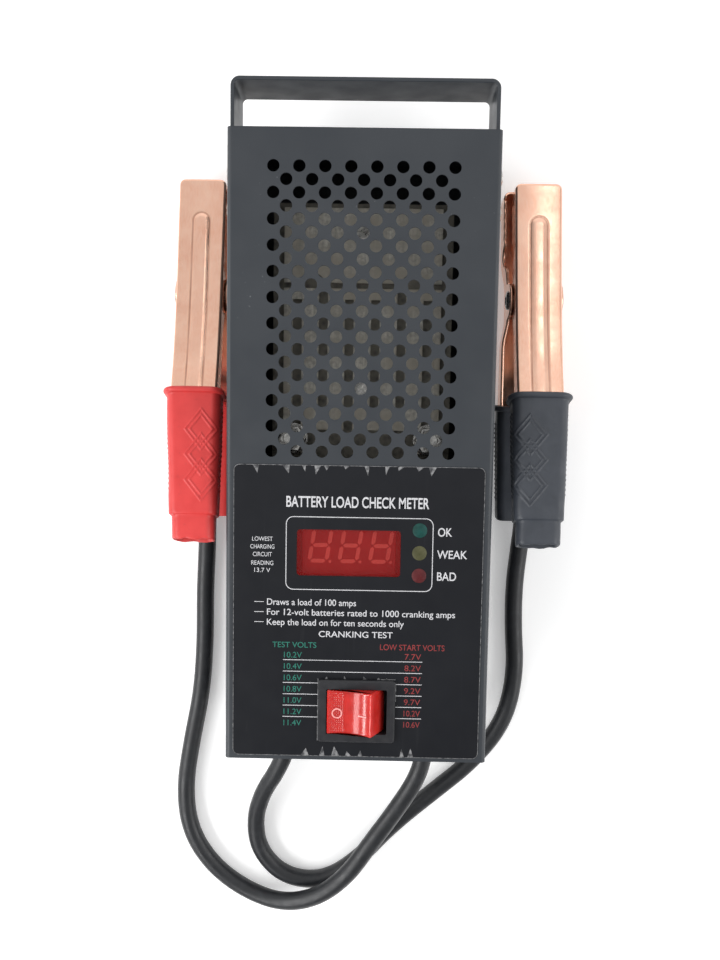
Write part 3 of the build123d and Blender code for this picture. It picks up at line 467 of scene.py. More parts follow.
def tube(path, radius, sides=12, tip=0.5):
    """Round bar along a path, with domed ends."""
    path = [Vector(p) for p in path]
    ways = [(b - a).normalized() for a, b in zip(path, path[1:])]
    ways = [ways[0]] + [(a + b).normalized() for a, b in zip(ways, ways[1:])] + [ways[-1]]
    rows = [(path[0] - ways[0] * radius * tip, ways[0], 0.35)]
    rows += [(p, w, 1.0) for p, w in zip(path, ways)]
    rows.append((path[-1] + ways[-1] * radius * tip, ways[-1], 0.35))
    up = ways[0].orthogonal().normalized()
    points = []
    for p, w, share in rows:
        up = (up - w * up.dot(w)).normalized()
        side = w.cross(up)
        points += [p + (up * u + side * v) * radius * share for u, v in circle(1.0, sides)]
    return points, capped_strips(len(rows), sides)


def mirrored(faces):
    """Faces turned over, for points that were mirrored."""
    return [face[::-1] for face in faces]


def soft_line(points, at, blur):
    """Height of a polyline at each place, with its corners rounded over blur each way."""
    xs, zs = zip(*sorted(points))
    shifts = np.linspace(-blur, blur, 9)
    return np.mean([np.interp(np.asarray(at) + s, xs, zs) for s in shifts], axis=0)


def smooth_step(value, low, high):
    t = np.clip((value - low) / (high - low), 0, 1)
    return t * t * (3 - 2 * t)


# ---- cords ----
LEAD_D = 8.0
LEAD_ROUTES = {
    "red": [
        (31, -123, 22), (31, -136.5, 22), (27.5, -150, 21.2), (18, -165.5, 20.6), (7, -181, 21),
        (-3.5, -197, 20), (-17, -210, 15.5), (-34, -217, 8.5), (-52, -213, 4.2), (-68, -201, 4),
        (-78.5, -184, 4.05), (-81, -163, 4), (-77.5, -140, 4.05), (-72.8, -116, 4), (-71.3, -92, 4.05),
        (-71.3, -68, 4.2), (-70.2, -49, 5.4), (-69.6, -32, 7.3), (-69.6, -15, 7.8),
    ],
    "black": [
        (-31, -123, 22), (-31, -136, 22), (-36, -148.5, 18.5), (-43, -161, 12), (-47.6, -177, 6.2),
        (-45.5, -193.5, 4.1), (-33.5, -206, 4), (-15.5, -208, 4.1), (1, -197.5, 4), (16, -180.5, 4.05),
        (35, -164, 4), (54.5, -147.5, 4.05), (69, -128, 4), (73.5, -104.5, 4.05), (71.6, -81, 4),
        (71.6, -62, 4.3), (72.9, -47, 5.6), (74.2, -32, 7.3), (74.3, -17, 7.8),
    ],
}


def make_lead(colour):
    """One clamp lead: a smooth round cord through the points of its route."""
    data = bpy.data.curves.new(f"{colour}_lead", "CURVE")
    data.dimensions = "3D"
    spline = data.splines.new("NURBS")
    route = LEAD_ROUTES[colour]
    spline.points.add(len(route) - 1)
    for point, place in zip(spline.points, route):
        point.co = (*[c * MM for c in place], 1)
    spline.order_u = 3
    spline.use_endpoint_u = True
    spline.resolution_u = 14
    data.bevel_depth = LEAD_D / 2 * MM
    data.bevel_resolution = 7
    data.use_fill_caps = True
    data.materials.append(FINISHES["lead_jacket"])
    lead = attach(add_object(f"{colour}_lead", data), "root")
    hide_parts(f"{colour}_clamp_lead")
    return lead


# ---- clamps ----
# Drawn closed in a local frame: hinge on X at the origin, nose to +Y, outer face to +Z.
JAW_NOSE = 48.0
UPPER_W = 19.2
LOWER_W = 22.2
COPPER_T = 1.2
LIP_Y = -44.0
LIP_H = 20.0
HANDLE_DEPTH = 10.4
HANDLE_SLOPE = 0.165
GRIP_T = 1.6
UPPER_END_Y = -96.2
LOWER_END_Y = -95.0
NOSE_H = 10.5
EAR_R = 7.2
BITE_Y = 19.5
BITE_R = 5.0
TEETH = 5
TEETH_Y = 26.0
TOOTH_LOW = 0.6
TOOTH_HIGH = 2.4
RIB_HALF_W = 3.3
RIB_Y = 33.3
RIB_H = 0.32
CROWN = 0.35
NOSE_FLARE = 0.045
JAW_EDGE_R = 1.0
JAW_CORNER = 1.5
NOSE_SPARE = 0.4  # how far the turned-down nose reaches past the teeth
JAW_STEP = {"upper": 0.26, "lower": 0.8}  # of the mesh, across a jaw
HANDLE_FAR_Y = -120  # beyond the end of either handle
LOWER_SWELL = {"red": (0.0, 1.9), "black": (1.9, 0.0)}  # left and right wall

grip_end_height = LIP_H + HANDLE_SLOPE * (LIP_Y - LOWER_END_Y) + GRIP_T
CLAMP_TILT = math.atan2(grip_end_height - NOSE_H, JAW_NOSE - LOWER_END_Y)
OUTER_LINE = [(JAW_NOSE, NOSE_H), (5, 12.5), (-14, 14.2), (-30, 16.6), (LIP_Y, LIP_H),
              (HANDLE_FAR_Y, LIP_H + HANDLE_SLOPE * (LIP_Y - HANDLE_FAR_Y))]


def clamp_place(colour):
    """From a clamp's local frame, in metres, to the part's frame."""
    hinge = Vector(JOINTS[f"{colour}_clamp_open"]["pos_m"])
    return Matrix.Translation(hinge) @ Matrix.Rotation(-CLAMP_TILT, 4, "X")


FLIPPED = Matrix.Diagonal((1, 1, -1, 1))


def ribbed_copper(colour):
    """Copper with painted shade along the foot of one clamp's rib."""
    end = clamp_place(colour) @ Vector((0, RIB_Y * MM, NOSE_H * MM))
    copper_plate(f"{colour}_copper", (end.x / MM, end.y / MM, RIB_HALF_W))


def jaw_edge(y):
    """Height of a side wall's lower edge: handle, ear, bite for round posts, teeth."""
    line = [(HANDLE_FAR_Y, LIP_H - HANDLE_DEPTH + HANDLE_SLOPE * (LIP_Y - HANDLE_FAR_Y)),
            (LIP_Y, LIP_H - HANDLE_DEPTH),
            (-16, 6.0), (-9, 3.0), (9, 3.0), (13, 1.0)]
    pitch = (JAW_NOSE - TEETH_Y) / TEETH
    for i in range(TEETH):
        tooth = TEETH_Y + i * pitch
        line += [(tooth, TOOTH_LOW), (tooth + pitch / 2, TOOTH_HIGH)]
    line.append((JAW_NOSE, TOOTH_LOW))
    edge = np.interp(y, *zip(*line))
    ear = np.sqrt(np.clip(EAR_R ** 2 - y ** 2, 0, None))
    edge = np.where(ear > 0, np.minimum(edge, -ear), edge)
    bite = np.sqrt(np.clip(BITE_R ** 2 - (y - BITE_Y) ** 2, 0, None))
    return np.where(bite > 0, np.maximum(edge, TOOTH_LOW + bite), edge)


def jaw_top(x, y):
    """Outer face of a jaw: its side line, a slight crown and the raised centre rib."""
    base = soft_line(OUTER_LINE, y, 5.0)
    rib_start = RIB_Y - RIB_HALF_W
    away = np.where(y > rib_start, np.hypot(x, y - rib_start), np.abs(x))
    half = RIB_HALF_W
    rib = RIB_H * (1 - smooth_step(away, half - 1.7, half + 0.1))
    crown = 0.1 * (1 - np.clip(away / half, 0, 1) ** 2) + CROWN * (1 - (x / UPPER_W * 2) ** 2)
    crease = 0.14 * np.exp(-((away - half - 0.35) / 0.35) ** 2)
    return base - CROWN + rib + crown - crease


def jaw_shell(width, step, bulge):
    """Stamped channel with a turned-down nose: outer skin only, as (points, faces).

    Its left and right walls swell by bulge away from the hinge."""
    edge_r, corner = JAW_EDGE_R, JAW_CORNER
    inner = width / 2 - edge_r
    nose = JAW_NOSE + NOSE_SPARE - edge_r
    near = np.linspace(0, corner, 5)
    middle = inner - corner
    across = np.arange(-middle, middle + 1e-6, middle / round(middle / step))
    xs = np.concatenate([-inner + near[:-1], across, middle + near[1:]])
    hidden = np.arange(UPPER_END_Y + 22, LIP_Y - 1, 2.5)
    shown = np.linspace(LIP_Y, nose - corner, int((nose - corner - LIP_Y) / (step * 1.3)))
    ys = np.concatenate([hidden, shown, nose - corner + near[1:]])
    x, y = np.meshgrid(xs, ys, indexing="ij")
    a = np.clip((np.abs(x) - inner + corner) / corner, 0, 1)
    b = np.clip((y - nose + corner) / corner, 0, 1)
    in_corner = (a > 0) & (b > 0)
    px = np.where(in_corner, np.sign(x) * (inner - corner + corner * a * np.sqrt(1 - b * b / 2)), x)
    py = np.where(in_corner, nose - corner + corner * b * np.sqrt(1 - a * a / 2), y)
    flare = NOSE_FLARE * (py - LIP_Y) / (JAW_NOSE - LIP_Y)
    swell = 2 / width * np.where(px < 0, *bulge) * smooth_step(np.abs(py), 6, 20)
    taper = 1 + np.clip(flare, 0, 1) + swell - 0.2 * smooth_step(-py, -LIP_Y, -LIP_Y + 20)
    nx, ny = x.shape
    top = np.stack([px * taper, py, jaw_top(px, py)], axis=-1)
    index = np.arange(nx * ny).reshape(nx, ny)
    faces = [(index[i, j], index[i + 1, j], index[i + 1, j + 1], index[i, j + 1])
             for i in range(nx - 1) for j in range(ny - 1)]
    path = [(0, j) for j in range(ny)] + [(i, ny - 1) for i in range(1, nx)]
    path += [(nx - 1, j) for j in range(ny - 2, -1, -1)]
    path = tuple(np.array(path).T)
    rim, edge_x, edge_y = top[path], px[path], py[path]
    centre = np.stack([np.clip(edge_x, -middle, middle), np.minimum(edge_y, nose - corner)], axis=-1)
    out = np.stack([edge_x, edge_y], axis=-1) - centre
    out /= np.maximum(np.linalg.norm(out, axis=1, keepdims=True), 1e-9)
    rows = []
    for angle in np.radians([22, 45, 68, 90]):
        row = rim.copy()
        row[:, :2] += out * edge_r * math.sin(angle)
        row[:, 2] -= edge_r * (1 - math.cos(angle))
        rows.append(row)
    low = np.where(out[:, 1] > 0.05, TOOTH_LOW, jaw_edge(rim[:, 1]))
    for share in (0.12, 0.35, 0.6, 0.85, 0.96, 1.0):
        row = rows[3].copy()
        row[:, 2] = rows[3][:, 2] * (1 - share) + low * share
        rows.append(row)
    points = top.reshape(-1, 3).tolist()
    first_row = index[path]
    for row in rows:
        second_row = range(len(points), len(points) + len(rim))
        points += row.tolist()
        faces += [(first_row[k], first_row[k + 1], second_row[k + 1], second_row[k])
                  for k in range(len(rim) - 1)]
        first_row = second_row
    return points, [tuple(int(i) for i in face) for face in faces]


def make_jaw(colour, which):
    """Upper or lower jaw as a bent sheet of real thickness."""
    place, body = clamp_place(colour), f"{colour}_clamp_upper"
    if which == "upper":
        points, faces = jaw_shell(UPPER_W, JAW_STEP[which], (0.0, 0.0))
    else:
        place, body = place @ FLIPPED, "root"
        points, faces = jaw_shell(LOWER_W, JAW_STEP[which], LOWER_SWELL[colour])
        faces = mirrored(faces)
    jaw = add_piece(f"{colour}_{which}_jaw_stamping", (points, faces), "copper_plate", body, place, 50,
                    f"{colour}_copper", f"{colour}_{which}_jaw")
    sheet = jaw.modifiers.new("sheet", "SOLIDIFY")
    sheet.thickness = COPPER_T * MM
    sheet.offset = -1
    return jaw


GRIP_MIDDLE = Vector((0, LIP_Y, LIP_H - HANDLE_DEPTH / 2))
GRIP_WAY = Vector((0, -1, HANDLE_SLOPE)).normalized()
GRIP_UP = Vector((0, HANDLE_SLOPE, 1)).normalized()
DIAMOND_CENTRES = (18.0, 28.5, 39.0)  # from the grip's mouth
DIAMOND_HALF = (6.6, 8.6)  # across and along the grip
SLEEVE_L = 10.0
SLEEVE_HALF = (8.7, 5.2)
DIAMOND_X = {"red": 3.7, "black": -4.3}
DIAMOND_H = {"red": 0.27, "black": 0.44}
GRIP_LEAN = {"red": 2.4, "black": 1.7}  # of the upper grip's end, towards the housing
GRIP_SHIFT = {"red": 0.0, "black": -1.3}  # of the lower grip
GRIP_WIDEN = {"red": 1.0, "black": 1.04}  # of the upper grip
GRIP_CROWN = 0.55
GRIP_UNEVEN = 0.22
UNEVEN_RATE = (0.13, 0.1)  # of the noise, across and along
UNEVEN_SCALE = {"red": 1.0, "black": 1.3}
UNEVEN_START = {"upper": 7, "lower": 21}
TORN_FROM = 6  # along the sleeve, whose cut end is ragged
TORN_BY = 0.55
CORNER_SOFTER = 0.7
UNDERSIDE_DROP = 0.95  # lets the lower grip rest on the table
SKIN_COUNTS = (54, 14, 14)  # steps across the top, down a side and round a corner
MOUTH_ROWS = 4  # first rows of a grip, inside its mouth
LIP_ROWS = 14  # first rows of a grip, as far as its rolled lip


def section_line(half_w, half_h, radius, counts):
    """Rounded rectangle, clockwise from the top left: points, normals, and way round the top."""
    n_top, n_side, n_corner = counts
    a, b = half_w - radius, half_h - radius
    quarter = [math.radians(90 * k / n_corner) for k in range(1, n_corner)]
    line = []
    sides = [((-a, half_h), (a, half_h), n_top, 90, (a, b)),
             ((half_w, b), (half_w, -b), n_side, 0, (a, -b)),
             ((a, -half_h), (-a, -half_h), n_top // 3, -90, (-a, -b)),
             ((-half_w, -b), (-half_w, b), n_side, 180, (-a, b))]
    for (x0, z0), (x1, z1), n, facing, centre in sides:
        f = math.radians(facing)
        normal = (math.cos(f), math.sin(f))
        line += [(x0 + (x1 - x0) * k / n, z0 + (z1 - z0) * k / n, *normal) for k in range(n + 1)]
        line += [(centre[0] + radius * math.cos(f - q), centre[1] + radius * math.sin(f - q),
                  math.cos(f - q), math.sin(f - q)) for q in quarter]
    line = np.array(line)
    x, _, nx, nz = line.T
    round_way = np.where(np.abs(x) <= a, x, np.sign(x) * (a + radius * np.abs(np.arctan2(nx, nz))))
    return np.column_stack([line, round_way])


def diamond_relief(across, along, shift):
    """The moulded pattern, 0 to 1 high: three linked diamonds, each with a double outline."""
    height = np.zeros_like(across)
    for centre in DIAMOND_CENTRES:
        size = np.abs(across - shift) / DIAMOND_HALF[0] + np.abs(along - centre) / DIAMOND_HALF[1]
        for level in (1.0, 0.7):
            line = 1 - smooth_step(np.abs(size - level) * DIAMOND_HALF[0], 0.2, 0.62)
            height = np.maximum(height, line)
    return height


def stud_relief(along, upward):
    """Three rows of small studs along a side."""
    pitch = 2.1
    rows = np.zeros_like(along)
    for row in (-2.0, 0.0, 2.0):
        wave = (along / pitch + row / 4) % 1 - 0.5
        rows = np.maximum(rows, 1 - smooth_step(np.hypot(wave * pitch, upward - row), 0.25, 0.75))
    return 0.35 * rows * smooth_step(along, 7, 8) * (1 - smooth_step(along, 43, 44))


def grip_rows(width, length, with_sleeve):
    """Stations of a grip from its mouth to its end: (along, half width, half height, radius)."""
    half_w, half_h = width / 2 + GRIP_T, HANDLE_DEPTH / 2 + GRIP_T

    def body(along, out=0.0):
        t = along / length
        waist = half_w - 1.5 * t ** 1.2
        tall = half_h - 0.7 * t
        return (along, waist + out, tall + out, 2.9 + out)

    rows = [body(6.0, -1.5), body(1.2, -1.5), body(0.4, -1.3), body(0.05, -0.7)]
    for angle in range(0, 181, 20):
        a = math.radians(angle)
        rows.append(body(1.3 - 1.3 * math.cos(a), 0.15 + 1.45 * math.sin(a)))
    rows += [body(3.1, 0.02)]
    rows += [body(s) for s in np.arange(3.8, 7.0, 0.8)]
    rows += [body(s) for s in np.arange(7.2, 48.6, 0.3)]
    rows += [body(s) for s in np.arange(49.2, length - 1.0, 1.0)]
    if with_sleeve:
        rows += [body(length - 0.7), body(length - 0.2, -0.12), body(length + 0.1, -0.45)]
        end_w, end_h = SLEEVE_HALF
        rows += [(length + 0.15, end_w + 0.25, end_h + 0.2, 3.0)]
        rows += [(length + s, end_w - 0.03 * s, end_h, 2.8) for s in (0.6, 1.6, 3.2, 5, 6.8, 8.4, 9.4)]
        rows += [(length + SLEEVE_L - 0.1, end_w - 0.55, end_h - 0.25, 2.6)]
        rows += [(length + SLEEVE_L, end_w - 0.9, end_h - 0.6, 2.3)]
        rows += [(length + s, end_w - 1.5, end_h - 1.2, 1.8) for s in (9.6, 7.0, 3.0, 1.2)]
    else:
        rows += [body(length - 0.8), body(length - 0.25, -0.15), body(length, -0.6), body(length, -1.0)]
        rows += [body(length - s, -1.6) for s in (0.4, 3.0, 8.0, 14.0)]
    return rows


def make_grip(colour, which):
    """Dip-moulded sleeve with a rolled lip, linked diamonds and rows of studs."""
    upper = which == "upper"
    width, end_y = (UPPER_W, UPPER_END_Y) if upper else (LOWER_W, LOWER_END_Y)
    length = (LIP_Y - end_y) / abs(GRIP_WAY.y)
    rows = grip_rows(width, length, upper)
    lean = -SIDES[colour] * GRIP_LEAN[colour] if upper else 0.0
    widen, slide = (GRIP_WIDEN[colour], 0.0) if upper else (1.0, GRIP_SHIFT[colour])
    rate_x, rate_y = UNEVEN_RATE
    points = []
    for number, (along, half_w, half_h, radius) in enumerate(rows):
        line = section_line(half_w, half_h, min(radius + CORNER_SOFTER, half_h - 0.3), SKIN_COUNTS)
        x, z, nx, nz, way = line.T
        outside = 1.0 if number >= MOUTH_ROWS else 0.0
        relief = GRIP_CROWN * outside * np.clip(nz, 0, 1) * (1 - (x / half_w) ** 2)
        if number >= LIP_ROWS and along < length - 0.5:
            diamonds = diamond_relief(way, np.full_like(x, along), DIAMOND_X[colour])
            relief += DIAMOND_H[colour] * diamonds * smooth_step(nz, -0.1, 0.3)
            relief += stud_relief(np.full_like(x, along), z) * smooth_step(np.abs(nx), 0.8, 0.97)
        if not upper:
            relief -= UNDERSIDE_DROP * np.clip(nz, 0, 1)
        torn = 0.0
        if upper and along > length + TORN_FROM:
            torn = TORN_BY * (along - length - TORN_FROM) / (SLEEVE_L - TORN_FROM)
        for k in range(len(line)):
            spot = Vector((x[k] * rate_x, along * rate_y, z[k] * rate_x + UNEVEN_START[which]))
            uneven = noise.noise(spot * UNEVEN_SCALE[colour])
            lift = float(relief[k]) + GRIP_UNEVEN * outside * uneven
            s = along + torn * noise.noise(Vector((x[k] * 0.35, z[k] * 0.35, SIDES[colour] * 3.0)))
            across = x[k] * widen + nx[k] * lift + lean * s / length + slide
            centre = GRIP_MIDDLE + GRIP_WAY * s + Vector((across, 0, 0))
            points.append(centre + GRIP_UP * (z[k] + nz[k] * lift))
    columns = len(line)
    faces = strip_faces(len(rows), columns) + [tuple(range(len(points) - columns, len(points)))]
    place, body = clamp_place(colour), f"{colour}_clamp_upper"
    if upper:
        faces = mirrored(faces)
    else:
        place, body = place @ FLIPPED, "root"
    return add_piece(f"{colour}_{which}_grip_sleeve", (points, faces), f"{colour}_vinyl", body, place, 60,
                     replaces=f"{colour}_{which}_grip")


def make_rivet(colour):
    """Tubular rivet on the hinge axis, rolled over outside the lower jaw's ears."""
    half = LOWER_W / 2
    head = 1.2
    side = [(1.7, half - 1.5), (1.7, half + head * 0.6), (2.1, half + head), (2.9, half + head),
            (3.8, half + head * 0.7), (4.3, half + 0.15), (4.25, half), (2.5, half)]
    profile = side + [(2.5, -half)] + [(r, -h) for r, h in side[::-1][1:]] + [(1.7, half - 1.5)]
    return add_piece(f"{colour}_rivet", lathe(profile, 40, "X"), "zinc_steel", "root",
                     clamp_place(colour), replaces=f"{colour}_pivot_pin")


def make_spring(colour):
    """Torsion spring: the coil and lower leg stay, the upper leg turns with the upper jaw."""
    half_w, coil_r, wire_r, turns, leg = 4.75, 4.6, 0.8, 5.5, 27.0
    steps = int(turns * 28)
    coil = []
    for k in range(steps + 1):
        a = -math.pi / 2 + 2 * math.pi * turns * k / steps
        coil.append((-half_w + 2 * half_w * k / steps, coil_r * math.cos(a), coil_r * math.sin(a)))
    low = [(-half_w, -leg, -coil_r - leg * 0.2), (-half_w, -leg / 2, -coil_r - leg * 0.1)]
    high = [(half_w, 0, coil_r), (half_w, -leg / 2, coil_r + leg * 0.1), (half_w, -leg, coil_r + leg * 0.2)]
    place = clamp_place(colour)
    return [add_piece(f"{colour}_spring_coil", tube(low + coil, wire_r), "spring_steel", "root", place, 60,
                      replaces=f"{colour}_spring"),
            add_piece(f"{colour}_spring_leg", tube(high, wire_r), "spring_steel", f"{colour}_clamp_upper",
                      place, 60)]


# ---- rocker switch ----
ROCKER_TILT = 14.0
ROCKER_HALF_D = 9.0
ROCKER_CREST = (9.2, 12.2)
ROCKER_DIP_Z = 10.2
ROCKER_END = (11.95, 1.5)
ROCKER_FOOT = (10.8, -2.0)
LATTICE_FROM = 2.3
LATTICE_PITCH = 0.8


def rocker_place():
    """From the rocker's local frame, in metres, to the part's frame."""
    pivot = Vector(JOINTS["rocker_press"]["pos_m"])
    return Matrix.Translation(pivot) @ Matrix.Rotation(-math.radians(ROCKER_TILT), 4, "Y")


def rocker_top(x):
    """Height of the dished top."""
    rise = ROCKER_CREST[1] - ROCKER_DIP_Z
    return ROCKER_DIP_Z + rise * (np.asarray(x) / ROCKER_CREST[0]) ** 2


def make_rocker():
    """Dished key with a fine lattice on the left end of its top, rounded all round."""
    xs = np.arange(-ROCKER_CREST[0] + 0.5, ROCKER_CREST[0] - 0.49, 0.16)
    top = [(x, float(rocker_top(x)), 1.0) for x in xs]
    crest_x, crest_z = ROCKER_CREST
    right = [(crest_x - 0.12, crest_z - 0.16), (crest_x + 0.12, crest_z - 0.62)]
    right += [(crest_x + (ROCKER_END[0] - crest_x) * t, crest_z + (ROCKER_END[1] - crest_z) * t)
              for t in (0.12, 0.3, 0.5, 0.75, 1.0)]
    right.append(ROCKER_FOOT)
    loop = top + [(x, z, 0.0) for x, z in right] + [(-x, z, 0.0) for x, z in right[::-1]]
    line = np.array(loop)
    before, after = np.roll(line[:, :2], 1, axis=0), np.roll(line[:, :2], -1, axis=0)
    way = after - before
    normals = np.stack([-way[:, 1], way[:, 0]], axis=-1)
    normals /= np.linalg.norm(normals, axis=1, keepdims=True)
    edge = 0.75
    ends = [(ROCKER_HALF_D - edge + edge * math.sin(a), edge * (1 - math.cos(a)))
            for a in np.radians([90, 65, 40, 20])]
    stations = [(-y, inset) for y, inset in ends]
    stations += [(y, 0.0) for y in np.arange(-ROCKER_HALF_D + edge, ROCKER_HALF_D - edge + 0.01, 0.16)]
    stations += [(y, inset) for y, inset in ends[::-1]]
    points = []
    for y, inset in stations:
        fade = smooth_step(ROCKER_HALF_D - abs(y), 1.0, 1.2)
        for (x, z, on_top), (nx, nz) in zip(loop, normals):
            groove = 0.0
            if on_top and -ROCKER_CREST[0] + 0.7 < x < -LATTICE_FROM:
                wave = max(math.cos(2 * math.pi * v / LATTICE_PITCH) for v in (x, y))
                groove = 0.16 * float(smooth_step(wave, 0.2, 0.95)) * float(fade)
            if on_top and abs(x + LATTICE_FROM - 0.15) < 0.12:
                groove = -0.08 * float(fade)
            shift = inset + groove
            points.append((x - nx * shift, y, z - nz * shift))
    faces = capped_strips(len(stations), len(loop))
    add_piece("rocker_key", (points, faces), "rocker_red", "rocker", rocker_place(), 48, replaces="rocker")


def make_rocker_marks():
    """Ring and bar, moulded proud of the rocker's top."""
    outer, inner = (circle(radius, 40, -5.3, -0.5) for radius in (2.08, 1.58))
    points, faces = merge([ring(outer, inner, -0.15, 0.06), bar(3.3, 6.9, -1.1, -0.65, -0.15, 0.08)])
    points = [(x, y, z + float(rocker_top(x))) for x, y, z in points]
    add_piece("rocker_marks", (points, faces), "rocker_red", "rocker", rocker_place(),
              finish="rocker_print")


# ---- front label ----
label_low, label_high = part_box("front_label")
PRINT_LOW = label_high.z / MM - 0.01
PRINT_HIGH = label_high.z / MM + 0.04
WORDS_WHITE = [
    ("BATTERY LOAD CHECK METER", -28.8, 27.9, -21.5, 4.2, 0.015),
    ("OK", 31.6, 37.2, -32.4, 3.3, 0.01),
    ("WEAK", 31.4, 43.4, -41.3, 3.2, 0.01),
    ("BAD", 31.6, 39.2, -50.2, 3.3, 0.01),
    ("LOWEST", -42.3, -34.1, -35.4, 1.7, 0.0),
    ("CHARGING", -43.0, -33.4, -38.5, 1.7, 0.0),
    ("CIRCUIT", -42.0, -34.4, -41.6, 1.7, 0.0),
    ("READING", -42.6, -33.8, -45.1, 1.7, 0.0),
    ("13.7 V", -41.4, -35.0, -48.0, 1.7, 0.0),
    ("Draws a load of 100 amps", -36.2, -0.5, -61.2, 2.5, 0.006),
    ("For 12-volt batteries rated to 1000 cranking amps", -36.2, 39.2, -65.3, 2.5, 0.006),
    ("Keep the load on for ten seconds only", -36.2, 18.8, -69.4, 2.5, 0.006),
    ("CRANKING TEST", -15.3, 14.4, -74.0, 2.4, 0.006),
]
WORDS_GREEN = [("TEST VOLTS", -33.9, -16.2, -78.5, 2.2, 0.004)]
WORDS_RED = [("LOW START VOLTS", 9.4, 35.3, -78.9, 2.3, 0.004)]
LOAD_VOLTS = (10.2, 10.4, 10.6, 10.8, 11.0, 11.2, 11.4)
CRANK_VOLTS = (7.7, 8.2, 8.7, 9.2, 9.7, 10.2, 10.6)
VALUE_TOP_Y = -82.7
VALUE_PITCH = 4.68
RULE_TOP_Y = -83.6
RULE_PITCH = 4.7
RULE_X = (-29.6, 26.5)
FRAME = (-28.9, 29.8, -54.9, -25.3)
FRAME_R = 3.0
LINE_W = 0.32


def lettering(name, words, finish):
    """Flat printed words: (text, left, right, base line, capital height, boldness)."""
    letters = bpy.data.curves.new("letters", "FONT")
    holder = add_object("letters", letters)

    def outline(text):
        """Mesh of a text as the letters are now set."""
        letters.body = text
        bpy.context.view_layer.update()
        return bpy.data.meshes.new_from_object(holder.evaluated_get(bpy.context.evaluated_depsgraph_get()))

    capital = max(v.co.y for v in outline("H").vertices)
    letters.extrude = 0.02
    parts = []
    for text, left, right, base, height, bold in words:
        letters.offset = bold
        mesh = outline(text)
        xs = [v.co.x for v in mesh.vertices]
        scale_x = (right - left) / (max(xs) - min(xs))
        scale_y = height / capital
        points = [(left + (v.co.x - min(xs)) * scale_x, base + v.co.y * scale_y,
                   PRINT_HIGH if v.co.z > 0 else PRINT_LOW) for v in mesh.vertices]
        parts.append((points, [tuple(p.vertices) for p in mesh.polygons]))
    bpy.data.objects.remove(holder)
    add_piece(name, merge(parts), "label_film", sharp=30, finish=finish)


def value_words(values, left, right):
    """A column of voltages."""
    return [(f"{volts:.1f}V", left, right, VALUE_TOP_Y - k * VALUE_PITCH, 2.3, 0.0)
            for k, volts in enumerate(values)]


def label_rules():
    """White frame round the display, dashes before the notes, and the table's rules."""
    low, high = PRINT_LOW, PRINT_HIGH
    x0, x1, y0, y1 = FRAME
    outer = rounded_outline(*FRAME, FRAME_R)
    inner = rounded_outline(x0 + LINE_W, x1 - LINE_W, y0 + LINE_W, y1 - LINE_W, FRAME_R - LINE_W)
    parts = [ring(outer, inner, low, high)]
    for y in (-60.0, -64.1, -68.2):
        parts.append(bar(-41.3, -37.5, y - 0.12, y + 0.12, low, high))
    bezel_low, bezel_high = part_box("switch_housing")
    gap = (bezel_low.x / MM - 0.2, bezel_high.x / MM + 0.2)
    left, right = RULE_X
    for k in range(6):
        y = RULE_TOP_Y - k * RULE_PITCH
        clear = y > bezel_high.y / MM + 0.5
        for ends in [(left, right)] if clear else [(left, gap[0]), (gap[1], right)]:
            parts.append(bar(*ends, y - 0.13, y + 0.13, low, high))
    add_piece("label_rules", merge(parts), "label_film", finish="white_print")


def label_wear():
    """Pale torn nicks along the label's cut edges, and the thin pale rim all round."""
    draw = random.Random(5)
    low, high = PRINT_LOW, PRINT_HIGH - 0.015
    x0, x1, y0, y1 = [v / MM for v in (label_low.x, label_high.x, label_low.y, label_high.y)]
    rim = 0.22
    outer = rounded_outline(x0 + 0.02, x1 - 0.02, y0 + 0.02, y1 - 0.02, 2.4)
    inner = rounded_outline(x0 + rim, x1 - rim, y0 + rim, y1 - rim, 2.4 - rim)
    parts = [ring(outer, inner, low, high)]

    bezel_low, bezel_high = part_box("switch_housing")
    top = bezel_high.y / MM + 0.15
    for xs, y, widths, talls, up in (
            ((-41, -29, -22, -16.5, -13, -5, 3, 11, 16.5, 24, 29), y1 - 0.2, (1.5, 3.1), (1.2, 3.9), -1),
            ((-20.5, -13.5, -8, -2.8, 2.0, 19, 22.5), y0 + 0.25, (1.8, 3.4), (1.6, 4.2), 1),
            ((-12, -4.5, 3.5, 9, 12.5), top, (0.9, 1.5), (0.6, 1.3), 1)):
        for x in xs:
            width, tall = draw.uniform(*widths), draw.uniform(*talls)
            lean = draw.uniform(-0.4, 0.4) * width
            nick = [(x - width / 2, y), (x + width / 2, y), (x + lean, y + tall * up)]
            parts.append(prism(nick if up > 0 else nick[::-1], low, high))
    left, right = bezel_low.x / MM - 0.35, bezel_high.x / MM + 0.1
    parts.append(bar(left, left + 0.3, bezel_low.y / MM, top, low, high))
    parts.append(bar(right, right + 0.3, top - 9, top - 1, low, high))
    parts.append(bar(right - 6, right, top - 0.1, top + 0.25, low, high))
    add_piece("label_wear", merge(parts), "label_film", finish="worn_film")


# ---- display ----
DIGITS_X = (-20.6, -8.5, 3.8)
DIGIT_BASE_Y = -44.4
DIGIT_W = 8.5
DIGIT_H = 14.4
STROKE = 1.6
SLANT = math.tan(math.radians(9))
DOT_R = 0.62


def segment(x0, y0, x1, y1):
    """Outline of one segment: a bar with pointed ends, slanted with its digit."""
    start, end = Vector((x0, y0)), Vector((x1, y1))
    way = (end - start).normalized()
    side = Vector((-way.y, way.x)) * STROKE / 2
    start, end = start + way * 0.35, end - way * 0.35
    tip = way * STROKE / 2
    shape = [start, start + tip - side, end - tip - side, end, end - tip + side, start + tip + side]
    return [(p.x + (p.y - DIGIT_BASE_Y) * SLANT, p.y) for p in shape]


